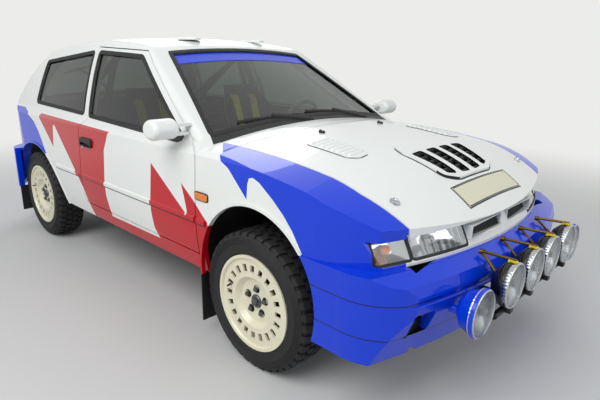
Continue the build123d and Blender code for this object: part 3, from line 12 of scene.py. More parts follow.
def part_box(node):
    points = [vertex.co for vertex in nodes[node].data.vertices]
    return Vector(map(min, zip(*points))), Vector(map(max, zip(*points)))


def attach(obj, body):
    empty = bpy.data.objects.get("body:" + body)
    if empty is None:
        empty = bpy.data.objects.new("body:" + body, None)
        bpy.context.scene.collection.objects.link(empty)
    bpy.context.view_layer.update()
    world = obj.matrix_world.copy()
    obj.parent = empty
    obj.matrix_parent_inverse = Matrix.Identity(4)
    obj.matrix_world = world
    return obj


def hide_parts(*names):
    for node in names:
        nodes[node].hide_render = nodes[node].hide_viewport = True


bl_info = {
    "name": "Rally Car Looks",
    "version": (1, 0, 0),
    "blender": (4, 5, 0),
    "location": "View3D > Sidebar > Rally Car",
    "description": "Paints a rally car's panels and adds its tyres, lamps, trim and cabin",
    "category": "Object",
}

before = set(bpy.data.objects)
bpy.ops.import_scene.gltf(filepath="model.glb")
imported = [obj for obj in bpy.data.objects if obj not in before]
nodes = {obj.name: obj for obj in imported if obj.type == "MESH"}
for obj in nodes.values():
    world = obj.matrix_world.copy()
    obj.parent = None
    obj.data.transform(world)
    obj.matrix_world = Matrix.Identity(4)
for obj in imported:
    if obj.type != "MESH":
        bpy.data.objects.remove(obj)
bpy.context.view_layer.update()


def linear(code):
    """An sRGB hex colour as linear red, green and blue."""
    levels = np.array([int(code[k:k + 2], 16) for k in (0, 2, 4)]) / 255
    return tuple(np.where(levels <= 0.04045, levels / 12.92, ((levels + 0.055) / 1.055) ** 2.4).tolist())


# Wheels: radius, radius of the circle of nuts, and each one's centre along the car and across it
WHEEL_RADIUS = 0.320
NUT_CIRCLE = 0.058
WHEELS = {
    "front_right": (1.125, -0.735), "front_left": (1.125, 0.735),
    "rear_right": (-1.305, -0.725), "rear_left": (-1.305, 0.725),
}
# Lamps in front of the bumper: front face along the car, across, height
SPOTS = [(2.034, y, 0.543) for y in (-0.311, -0.101, 0.101, 0.311)]
LOWS = [(2.006, y, 0.490) for y in (-0.507, 0.507)]

# Steering wheel: its middle, and the way from it to the driver
STEERING_WHEEL = (0.255, 0.360, 0.905)
STEERING_AXIS = (-0.927184, 0, 0.374607)
# Grilles: middle of each window across the car; which window opens on the radiator and has no back
GRILLE_Y = 0.169
LOWER_INTAKE = 2
# Camera: turn, lift and roll in degrees, place, and focal length in millimetres; colour behind the car
CAMERA_ANGLES = (43.55, 16.12, 0.91)
CAMERA_AT = (2.605, -2.087, 1.349)
CAMERA_LENS = 29.65
BACKDROP = linear("ECECEA")

# Livery outlines in the side view, along the car and up, in metres; both sides carry the same
RED_REAR = [
    (-1.183, 0.938), (-0.925, 0.733), (-0.918, 0.800), (-0.915, 0.860), (-0.903, 0.886), (-0.880, 0.884),
    (-0.845, 0.850), (-0.573, 0.610), (-0.500, 0.523), (-0.470, 0.440), (-0.420, 0.340), (-0.150, 0.340),
    (-0.160, 0.420), (-0.182, 0.542), (-0.177, 0.672), (-0.167, 0.815), (-0.106, 0.925),
]
RED_FRONT = [
    (0.354, 0.822), (0.655, 0.628), (0.668, 0.616), (0.672, 0.640), (0.655, 0.690), (0.625, 0.768),
    (0.720, 0.706), (0.844, 0.610), (1.000, 0.560), (1.000, 0.300), (-0.420, 0.300), (-0.395, 0.410),
    (0.380, 0.418), (0.345, 0.470), (0.334, 0.560),
]
BLUE_REAR = [
    (-1.558, 0.952), (-1.400, 0.928), (-1.265, 0.876), (-1.190, 0.815), (-1.134, 0.751), (-1.080, 0.680),
    (-1.040, 0.613), (-1.030, 0.300), (-2.300, 0.300), (-2.300, 0.952),
]
BLUE_FRONT = [
    (0.735, 0.9635), (0.879, 0.942), (0.982, 0.895), (1.105, 0.784), (1.108, 0.850), (1.118, 0.876),
    (1.140, 0.882), (1.180, 0.868), (1.260, 0.815), (1.320, 0.768), (1.371, 0.717), (1.425, 0.644),
    (1.430, 0.600), (2.200, 0.600), (2.200, 1.200), (0.700, 1.200),
]
# Black lines of painted shade: under the rub strip, and two round the bumpers' corners, the upper in the gap under
# the wing and the lower in the bumper's groove
RUB_SHADE_LINE = [(-0.910, 0.5975), (-0.910, 0.5915), (1.100, 0.5915), (1.100, 0.5975)]
BUMPER_SHADE_LINES = [[(1.250, z), (1.250, z - 0.004), (reach, z - 0.004), (reach, z)]
                for z, reach in ((0.5370, 1.870), (0.4040, 2.100))]

# Skins of the body as circles through three points: bonnet in two stretches, windscreen, window side and wing
# corner
BONNET_REAR = [(0.745, 1.014), (1.110, 1.000), (1.430, 0.962)]
BONNET_FRONT = [(1.430, 0.962), (1.665, 0.878), (1.860, 0.738)]
SCREEN = [(0.745, 0.996), (0.400, 1.203), (0.076, 1.393)]
WINDOW_SIDE = [(0.966, 0.752), (1.185, 0.686), (1.471, 0.562)]
WING_CORNER = [(1.423, 0.834), (1.640, 0.786), (1.770, 0.700)]
TAILGATE_GLASS = [(-1.335, 1.398), (-1.640, 1.212), (-1.862, 0.960)]
# Where the bonnet's two arcs meet, how deep under the ground the crowns' axes lie, and where side glass begins
BONNET_BEND = 1.430
BONNET_AXIS = 3.2
CABIN_AXIS = 4.0
BELT = 0.966

# Window outlines in the side view, along the car and up
DOOR_WINDOW = [(-0.494, 0.978), (-0.550, 1.362), (-0.012, 1.340), (0.560, 0.956)]
QUARTER_WINDOW = [(-1.378, 1.002), (-1.333, 1.290), (-0.626, 1.362), (-0.575, 0.984)]
# Right half of the bonnet: outline of the louvre domes; whole outline of the centre vent
LOUVRE = [(1.110, 0.336), (1.330, 0.350), (1.377, 0.376), (1.381, 0.440), (1.345, 0.480), (1.107, 0.478)]
CENTRE_VENT = [(1.398, 0.215), (1.470, 0.245), (1.655, 0.222), (1.690, 0.150),
               (1.690, -0.150), (1.655, -0.222), (1.470, -0.245), (1.398, -0.215)]


class CarLivery(bpy.types.PropertyGroup):
    """The colours that the car wears."""
    white: FloatVectorProperty(name="White", description="Body's ground colour", subtype="COLOR",
                               default=linear("E8EAE6"), min=0, max=1)
    blue: FloatVectorProperty(name="Blue", description="Wings, bumpers and rear corners", subtype="COLOR",
                              default=linear("0039D2"), min=0, max=1)
    red: FloatVectorProperty(name="Red", description="Flames on the doors and sills", subtype="COLOR",
                             default=linear("BE0C1C"), min=0, max=1)


class CarTyres(bpy.types.PropertyGroup):
    """The gravel tyres' sizes."""
    radius: FloatProperty(name="Radius", description="From the hub to the blocks' tops", default=WHEEL_RADIUS,
                          unit="LENGTH", subtype="DISTANCE")
    groove: FloatProperty(name="Groove depth", description="Depth between the blocks", default=0.009,
                          unit="LENGTH", subtype="DISTANCE")
    pitches: IntProperty(name="Pitches", description="Blocks in one row round the tyre", default=40, min=12)


class CarLamps(bpy.types.PropertyGroup):
    """The round lamps' sizes."""
    spot_radius: FloatProperty(name="Upper lamps' radius", description="Radius of the chrome rim", default=0.0905,
                               unit="LENGTH", subtype="DISTANCE")
    low_radius: FloatProperty(name="Lower lamps' radius", description="Radius of the chrome rim", default=0.0925,
                              unit="LENGTH", subtype="DISTANCE")
    ribs: IntProperty(name="Rim ribs", description="Ribs round a chrome rim", default=44, min=8)


class CarStage(bpy.types.PropertyGroup):
    """The studio round the car."""
    key_power: FloatProperty(name="Key light", description="Power of the large light over the car's right",
                             default=230.0, subtype="POWER")
    fill_power: FloatProperty(name="Fill light", description="Power of the light behind and left", default=110.0,
                              subtype="POWER")
    floor_size: FloatProperty(name="Floor size", description="Side of the square floor", default=60.0,
                              unit="LENGTH", subtype="DISTANCE")


GROUPS = (CarLivery, CarTyres, CarLamps, CarStage)


# ---- meshes ----


def grid_faces(rows, columns, wrap_rows=False, wrap_columns=False):
    """Quads between neighbouring points of a grid, with its last row or column joined to the first where it
    wraps."""
    steps_down = rows if wrap_rows else rows - 1
    steps_right = columns if wrap_columns else columns - 1
    a, b = np.meshgrid(np.arange(steps_down), np.arange(steps_right), indexing="ij")
    down, right = (a + 1) % rows, (b + 1) % columns
    corners = [a * columns + b, down * columns + b, down * columns + right, a * columns + right]
    return np.stack(corners, -1).reshape(-1, 4)


class Shape:
    """Points and faces gathered from several surfaces that belong to one piece, with a material number each."""

    def __init__(self):
        self.points, self.faces, self.slots, self.total = [], [], [], 0

    def add(self, points, faces, slot=0):
        """Takes in points and the faces between them, whose numbers go on from the points before."""
        points = np.asarray(points, float).reshape(-1, 3)
        self.points.append(points)
        self.faces += [[int(i) + self.total for i in face] for face in faces]
        self.slots += [slot] * (len(self.faces) - len(self.slots))
        self.total += len(points)
        return self

    def grid(self, points, wrap_rows=False, wrap_columns=False, caps=False, slot=0):
        """A grid of points as a surface; caps close a tube's first and last rings."""
        points = np.asarray(points, float)
        rows, columns = points.shape[:2]
        faces = grid_faces(rows, columns, wrap_rows, wrap_columns).tolist()
        if caps:
            faces += [list(range(columns))[::-1], [(rows - 1) * columns + k for k in range(columns)]]
        return self.add(points, faces, slot)


def piece(name, shape, materials, body, smooth=35, solid=0.0, outward=True):
    """Makes one object from a shape: welds it, turns its faces outward, gives an open sheet its wall, and lets
    it ride on a body."""
    mesh = bpy.data.meshes.new(name)
    mesh.from_pydata(np.vstack(shape.points).tolist(), [], shape.faces)
    for material in materials:
        mesh.materials.append(material)
    mesh.polygons.foreach_set("material_index", shape.slots)
    work = bmesh.new()
    work.from_mesh(mesh)
    bmesh.ops.remove_doubles(work, verts=work.verts, dist=2e-5)
    if outward:
        bmesh.ops.recalc_face_normals(work, faces=work.faces)
    work.to_mesh(mesh)
    work.free()
    made = bpy.data.objects.new(name, mesh)
    bpy.context.scene.collection.objects.link(made)
    mesh.shade_smooth()
    if solid:
        wall = made.modifiers.new("wall", "SOLIDIFY")
        wall.thickness, wall.offset = solid, -1
    mesh.set_sharp_from_angle(angle=math.radians(smooth))
    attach(made, body)
    return made


def frame_of(direction):
    """Two unit vectors square to a direction and to each other."""
    way = np.array(direction, float) / np.linalg.norm(direction)
    side = np.cross(way, (0, 0, 1.0) if abs(way[2]) < 0.9 else (1.0, 0, 0))
    side /= np.linalg.norm(side)
    return side, np.cross(side, way)


def turned(profile, centre, axis, segments=64, ripple=None):
    """A surface of revolution: each profile point (along the axis, radius) goes round in equal steps; ripple
    multiplies the radius by a function of the angle and the profile's row."""
    profile = np.asarray(profile, float)
    way = np.array(axis, float) / np.linalg.norm(axis)
    side, up = frame_of(way)
    angle = np.linspace(0, 2 * math.pi, segments, endpoint=False)
    radius = np.repeat(profile[:, 1:2], segments, 1)
    if ripple is not None:
        radius = radius * ripple(angle[None, :], np.arange(len(profile))[:, None])
    ring = np.cos(angle)[None, :, None] * side + np.sin(angle)[None, :, None] * up
    return np.array(centre) + profile[:, 0, None, None] * way + radius[..., None] * ring


def swept(path, section):
    """A section (across, up) carried along a path of points; its frame keeps square to the path and its up
    near the world's."""
    path = np.asarray(path, float)
    way = np.vstack([path[1:], path[-1:]]) - np.vstack([path[:1], path[:-1]])
    way /= np.linalg.norm(way, axis=1)[:, None]
    side = np.cross(way, (0, 0, 1.0))
    flat = np.linalg.norm(side, axis=1)[:, None]
    side = np.where(flat > 1e-3, side / np.maximum(flat, 1e-6), (0, 1.0, 0))
    up = np.cross(side, way)
    section = np.asarray(section, float)
    return path[:, None] + section[None, :, :1] * side[:, None] + section[None, :, 1:] * up[:, None]


def circle(radius, count=16):
    """A ring of points, as a round section."""
    angle = np.linspace(0, 2 * math.pi, count, endpoint=False)
    return np.stack([radius * np.cos(angle), radius * np.sin(angle)], 1)


def pad(size, centre, power=4.0, rows=17, columns=28):
    """A rounded box: a ball whose sines and cosines are raised to 2 / power, stretched to its size."""
    lift = np.linspace(-math.pi / 2, math.pi / 2, rows)[:, None]
    turn = np.linspace(0, 2 * math.pi, columns, endpoint=False)[None, :]

    def bend(value):
        return np.sign(value) * np.abs(value) ** (2 / power)

    x = bend(np.cos(lift)) * bend(np.cos(turn))
    y = bend(np.cos(lift)) * bend(np.sin(turn))
    z = bend(np.sin(lift)) * np.ones_like(turn)
    return np.stack([x, y, z], -1) * (np.array(size) / 2) + np.array(centre)


def bar(start, end, radius, sides=16):
    """A round rod between two points as two rings."""
    start, end = np.array(start, float), np.array(end, float)
    side, up = frame_of(end - start)
    ring = circle(radius, sides)
    ring = ring[:, :1] * side + ring[:, 1:] * up
    return np.stack([start + ring, end + ring])


def circle_through(points):
    """Middle and radius of the circle through three points, from the crossing of two chords' bisectors."""
    (x1, z1), (x2, z2), (x3, z3) = points
    twice = 2 * (x1 * (z2 - z3) + x2 * (z3 - z1) + x3 * (z1 - z2))
    s1, s2, s3 = x1 * x1 + z1 * z1, x2 * x2 + z2 * z2, x3 * x3 + z3 * z3
    middle_x = (s1 * (z2 - z3) + s2 * (z3 - z1) + s3 * (z1 - z2)) / twice
    middle_z = (s1 * (x3 - x2) + s2 * (x1 - x3) + s3 * (x2 - x1)) / twice
    return middle_x, middle_z, math.hypot(x1 - middle_x, z1 - middle_z)


def arc_height(points, x):
    """The upper height at x of the circle through three points."""
    middle_x, middle_z, radius = circle_through(points)
    return middle_z + np.sqrt(np.maximum(radius**2 - (x - middle_x) ** 2, 0))


def crowned(profile, y, axis_depth):
    """A profile's height, dropped off the middle along a circle about an axis deep under the ground."""
    return np.sqrt((profile + axis_depth) ** 2 - y**2) - axis_depth


def bonnet_skin(x, y, lift=0.0):
    """A point on the bonnet: the crowned height of its two arcs."""
    profile = np.where(x < BONNET_BEND, arc_height(BONNET_REAR, x), arc_height(BONNET_FRONT, x))
    return np.stack([x, y, crowned(profile, y, BONNET_AXIS) + lift], -1)


def screen_skin(x, y, lift=0.0):
    """A point on the windscreen: the crowned height of its arc."""
    return np.stack([x, y, crowned(arc_height(SCREEN, x), y, CABIN_AXIS) + lift], -1)


def tail_skin(x, y, lift=0.0):
    """A point on the tailgate's glass, as on the windscreen."""
    return np.stack([x, y, crowned(arc_height(TAILGATE_GLASS, x), y, CABIN_AXIS) + lift], -1)


def side_skin(x, z, side, lift=0.0):
    """A point on the car's side: leaning glass in an arc above the shoulder, and straight runs of panel
    below."""
    panel = np.interp(z, (0.350, 0.500, 0.640, 0.918, BELT), (0.800, 0.827, 0.834, 0.822, 0.752))
    across = np.where(z > BELT, arc_height(WINDOW_SIDE, z), panel)
    return np.stack([x, side * (across + lift), z], -1)


def nose_skin(y, z, lift=0.0):
    """A point on the nose: the nearer of its round about an upright axis and of the wing corner's arc in
    plan."""
    radius = 2.050 - 0.044 * np.clip((z - 0.645) / 0.093, 0, 1)
    nose = -0.190 + np.sqrt(radius**2 - y**2)
    middle_x, middle_y, reach = circle_through(WING_CORNER)
    corner = middle_x + np.sqrt(np.maximum(reach**2 - (np.abs(y) - middle_y) ** 2, 0))
    return np.stack([np.minimum(nose, corner) + lift, y, z], -1)


def rounded(corners, radius, step=0.012):
    """A closed outline whose corners are parabolas from one edge to the next, divided in equal steps."""
    corners = np.array(corners, float)
    back, on = np.roll(corners, 1, 0) - corners, np.roll(corners, -1, 0) - corners
    back /= np.linalg.norm(back, axis=1)[:, None]
    on /= np.linalg.norm(on, axis=1)[:, None]
    t = np.linspace(0, 1, 7)[None, :, None]
    first, middle, last = (v[:, None] for v in (corners + radius * back, corners, corners + radius * on))
    loop = ((1 - t) ** 2 * first + 2 * t * (1 - t) * middle + t**2 * last).reshape(-1, 2)
    loop = np.vstack([loop, loop[:1]])
    length = np.r_[0, np.cumsum(np.linalg.norm(np.diff(loop, axis=0), axis=1))]
    at = np.linspace(0, length[-1], max(12, int(length[-1] / step)), endpoint=False)
    return np.stack([np.interp(at, length, loop[:, k]) for k in (0, 1)], 1)


def ribbon(path, width, height, place, closed=True):
    """A strip with rounded edges laid along an outline on a skin: its section runs across the path in the
    outline's own plane, and place(along, across, lift) puts it on the body."""
    path = np.asarray(path, float)
    before, after = np.roll(path, 1, 0), np.roll(path, -1, 0)
    if not closed:
        before[0], after[-1] = path[0], path[-1]
    way = after - before
    way /= np.linalg.norm(way, axis=1)[:, None]
    square = np.stack([-way[:, 1], way[:, 0]], 1)
    section = np.array([(-0.5, -0.0015), (-0.5, 0.6 * height), (-0.36, height), (0.36, height), (0.5, 0.6 * height),
                        (0.5, -0.0015)])
    flat = path[:, None] + section[None, :, :1] * width * square[:, None]
    return place(flat[..., 0], flat[..., 1], np.broadcast_to(section[:, 1], flat.shape[:2]))


def tile(x_range, y_range, place, lift, rows=16, columns=40):
    """A rectangle in an outline's plane, laid on a skin at a lift."""
    a, b = np.meshgrid(np.linspace(*x_range, rows), np.linspace(*y_range, columns), indexing="ij")
    return place(a, b, lift)


def lattice(place, low, high, pitch, wire):
    """Two sets of slanting square wires behind a window: each runs between the points where its line leaves it,
    and place(across, up) gives how far along the car they lie."""
    (y0, z0), (y1, z1) = low, high
    starts = np.arange(z0 - z1 + pitch / 2, y1 - y0, pitch)
    near, far = np.maximum(starts, 0), np.minimum(starts + z1 - z0, y1 - y0)
    keep = far - near > wire
    starts, near, far = starts[keep], near[keep], far[keep]
    shape = Shape()
    corners = np.array([(-1, -1), (1, -1), (1, 1), (-1, 1)]) * wire / 2
    for lean in (1, -1):
        ends = []
        for reach in (near, far):
            y = y0 + reach if lean > 0 else y1 - reach
            z = z0 + reach - starts
            ends.append(np.stack([place(y, z), y, z], -1))
        side = np.array([0, -1, lean]) / math.sqrt(2)
        section = corners[:, :1] * side + corners[:, 1:] * np.array([1.0, 0, 0])
        rings = np.stack([end[:, None] + section[None] for end in ends], 1)
        quads = np.array([(0, 1, 5, 4), (1, 2, 6, 5), (2, 3, 7, 6), (3, 0, 4, 7), (3, 2, 1, 0), (4, 5, 6, 7)])
        faces = (np.arange(len(starts))[:, None, None] * 8 + quads[None]).reshape(-1, 4)
        shape.add(rings.reshape(-1, 3), faces)
    return shape


# ---- materials ----


def add(tree, kind, links=None, **settings):
    """Adds a shader node, sets its properties and fills its sockets with values or other nodes' outputs."""
    made = tree.nodes.new(kind)
    for key, value in settings.items():
        setattr(made, key, value)
    for key, value in (links or {}).items():
        if isinstance(value, bpy.types.NodeSocket):
            tree.links.new(value, made.inputs[key])
        else:
            made.inputs[key].default_value = value
    return made.outputs


def start(name, colour, **sockets):
    """A new material with a Principled shader. Returns the material, its tree, the shader and the Object
    coordinates."""
    made = bpy.data.materials.new(name)
    made.use_nodes = True
    tree = made.node_tree
    shader = next(n for n in tree.nodes if n.type == "BSDF_PRINCIPLED")
    shader.inputs["Base Color"].default_value = (*colour, 1)
    for key, value in sockets.items():
        shader.inputs[key.replace("_", " ")].default_value = value
    return made, tree, shader, add(tree, "ShaderNodeTexCoord")["Object"]


def relief(tree, shader, height, strength, distance):
    """Leads a height into the shader's normal through a bump of a real depth."""
    bump = add(tree, "ShaderNodeBump", {"Height": height, "Strength": strength, "Distance": distance})
    tree.links.new(bump["Normal"], shader.inputs["Normal"])


def tinted(tree, shader, colour, amount, mask):
    """Mixes the shader's colour with another by a mask."""
    base = shader.inputs["Base Color"]
    before = base.links[0].from_socket if base.is_linked else tuple(base.default_value)
    if amount < 1:
        mask = add(tree, "ShaderNodeMath", {0: mask, 1: amount}, operation="MULTIPLY")[0]
    mix = add(tree, "ShaderNodeMix", {0: mask, 6: before, 7: (*colour, 1)}, data_type="RGBA")
    tree.links.new(mix[2], base)


def inside(tree, x, z, corners):
    """1 inside a closed outline and 0 outside: counts the outline's edges that lie ahead of the point at its
    height, and keeps the odd counts."""
    count = 0.0
    for (x1, z1), (x2, z2) in zip(corners, corners[1:] + corners[:1]):
        if abs(z2 - z1) < 1e-5:
            continue
        rise = {0: z, 1: 1 / (z2 - z1), 2: -z1 / (z2 - z1)}
        share = add(tree, "ShaderNodeMath", rise, operation="MULTIPLY_ADD")[0]
        passes = add(tree, "ShaderNodeMath", {0: share, 1: 0.5, 2: 0.5}, operation="COMPARE")[0]
        edge_x = add(tree, "ShaderNodeMath", {0: share, 1: x2 - x1, 2: x1}, operation="MULTIPLY_ADD")[0]
        ahead = add(tree, "ShaderNodeMath", {0: edge_x, 1: x}, operation="GREATER_THAN")[0]
        count = add(tree, "ShaderNodeMath", {0: passes, 1: ahead, 2: count}, operation="MULTIPLY_ADD")[0]
    return add(tree, "ShaderNodeMath", {0: count, 1: 2.0}, operation="MODULO")[0]


def paint(name, ground, layers=(), cabin_shade_way=None, slot_shade_box=None):
    """Two-pack car paint under a clear coat, with vinyl colours laid in outlines: smooth and wet-looking, with
    orange peel about 2.5 mm wide. A way towards the cabin, when given, darkens what looks there with painted
    shade for the dark cabin, which on the doors also stands for their real black trim panels: Y for the car's
    middle line, Z for the ground. In a box given by its middle and half its size, the walls that stand up are
    darkened with painted shade for the vent's slots."""
    made, tree, shader, place = start(name, ground, Roughness=0.34, Coat_Weight=0.6, Coat_Roughness=0.03,
                                      Specular_IOR_Level=0.12)
    if layers:
        at = add(tree, "ShaderNodeSeparateXYZ", {0: place})
        for colour, outline in layers:
            tinted(tree, shader, colour, 1, inside(tree, at["X"], at["Z"], outline))
    # Painted shade: faces that look towards the cabin are darkened, standing in for the dark cabin; on the doors the
    # dark colour is also their real black trim panels
    if cabin_shade_way:
        facing = add(tree, "ShaderNodeSeparateXYZ", {0: add(tree, "ShaderNodeTexCoord")["Normal"]})[cabin_shade_way]
        away = 1.0
        if cabin_shade_way == "Y":
            across = add(tree, "ShaderNodeSeparateXYZ", {0: place})["Y"]
            away = add(tree, "ShaderNodeMath", {0: across}, operation="SIGN")[0]
        outward = add(tree, "ShaderNodeMath", {0: facing, 1: away}, operation="MULTIPLY")[0]
        in_cabin_shade = add(tree, "ShaderNodeMath", {0: outward, 1: -0.35}, operation="LESS_THAN")[0]
        tinted(tree, shader, linear("1C1D20"), 1, in_cabin_shade)
    # Painted shade: inside the vent's box the walls that stand up are darkened to near black, standing in for the
    # shade in its slots
    if slot_shade_box:
        centre, reach = slot_shade_box
        upright = add(tree, "ShaderNodeSeparateXYZ", {0: add(tree, "ShaderNodeTexCoord")["Normal"]})["Z"]
        shaded_wall = add(tree, "ShaderNodeMath", {0: upright, 1: 0.0, 2: 0.6}, operation="COMPARE")[0]
        at = add(tree, "ShaderNodeSeparateXYZ", {0: place})
        for axis, middle, half in zip("XY", centre, reach):
            near = add(tree, "ShaderNodeMath", {0: at[axis], 1: middle, 2: half}, operation="COMPARE")[0]
            shaded_wall = add(tree, "ShaderNodeMath", {0: shaded_wall, 1: near}, operation="MULTIPLY")[0]
        tinted(tree, shader, linear("08080A"), 1, shaded_wall)
    peel = add(tree, "ShaderNodeTexNoise", {"Vector": place, "Scale": 400.0, "Detail": 1.0})["Fac"]
    relief(tree, shader, peel, 0.06, 0.0004)
    return made


def plain(name, code, rough, bump=0.0, grain=600.0, spots=0.0, **sockets):
    """A solid-coloured surface with a fine grain: noise of a real size in the bump, and broad patches that
    change the roughness and darken the colour a little."""
    made, tree, shader, place = start(name, linear(code), Roughness=rough, **sockets)
    broad = add(tree, "ShaderNodeTexNoise", {"Vector": place, "Scale": 9.0, "Detail": 4.0})["Fac"]
    level = add(tree, "ShaderNodeMapRange",
                {"Value": broad, "To Min": rough * 0.85, "To Max": min(1.0, rough * 1.2)})
    tree.links.new(level["Result"], shader.inputs["Roughness"])
    if spots:
        darker = tuple(c * 0.55 for c in linear(code))
        tinted(tree, shader, darker, spots, broad)
    if bump:
        fine = add(tree, "ShaderNodeTexNoise", {"Vector": place, "Scale": grain, "Detail": 3.0})["Fac"]
        relief(tree, shader, fine, 1.0, bump)
    return made


def clear(name, code, tint, flutes=0.0, mirror=0.5):
    """Glass or clear plastic: see-through and tinted, with upright flutes where a lamp has them. Shadow rays
    pass it as they pass a clear film, so that what is behind isn't in the dark. A mirror value under 0.5
    weakens what it reflects, so that the eye gets into the cabin."""
    made, tree, shader, place = start(name, linear(code), Roughness=0.0, Transmission_Weight=1.0, IOR=1.45,
                                      Specular_IOR_Level=mirror)
    output = next(n for n in tree.nodes if n.type == "OUTPUT_MATERIAL")
    shade = add(tree, "ShaderNodeBsdfTransparent", {"Color": (tint, tint, tint, 1)})["BSDF"]
    light = add(tree, "ShaderNodeLightPath")
    mixed = add(tree, "ShaderNodeMixShader",
                {0: light["Is Shadow Ray"], 1: shader.outputs[0], 2: shade})["Shader"]
    tree.links.new(mixed, output.inputs["Surface"])
    if flutes:
        wave = add(tree, "ShaderNodeTexWave", {"Vector": place, "Scale": flutes, "Distortion": 0.0},
                   bands_direction="Y")["Fac"]
        relief(tree, shader, wave, 0.5, 0.001)
    return made


def woven(name, code, thread):
    """Woven cloth: two crossing sets of threads, drawn about as wide as the thread size given, in the bump and
    in a slight change of colour, with a soft sheen."""
    made, tree, shader, place = start(name, linear(code), Roughness=0.85, Sheen_Weight=0.3)
    rows = [add(tree, "ShaderNodeTexWave", {"Vector": place, "Scale": 1 / thread / 20}, bands_direction=axis)["Fac"]
            for axis in ("X", "Z")]
    both = add(tree, "ShaderNodeMath", {0: rows[0], 1: rows[1]}, operation="MULTIPLY")[0]
    tinted(tree, shader, tuple(min(1.0, c * 1.8 + 0.01) for c in linear(code)), 0.5, both)
    relief(tree, shader, both, 0.6, thread / 2)
    return made


# Filled by the finishes' operator, which runs first
MATERIALS = {}


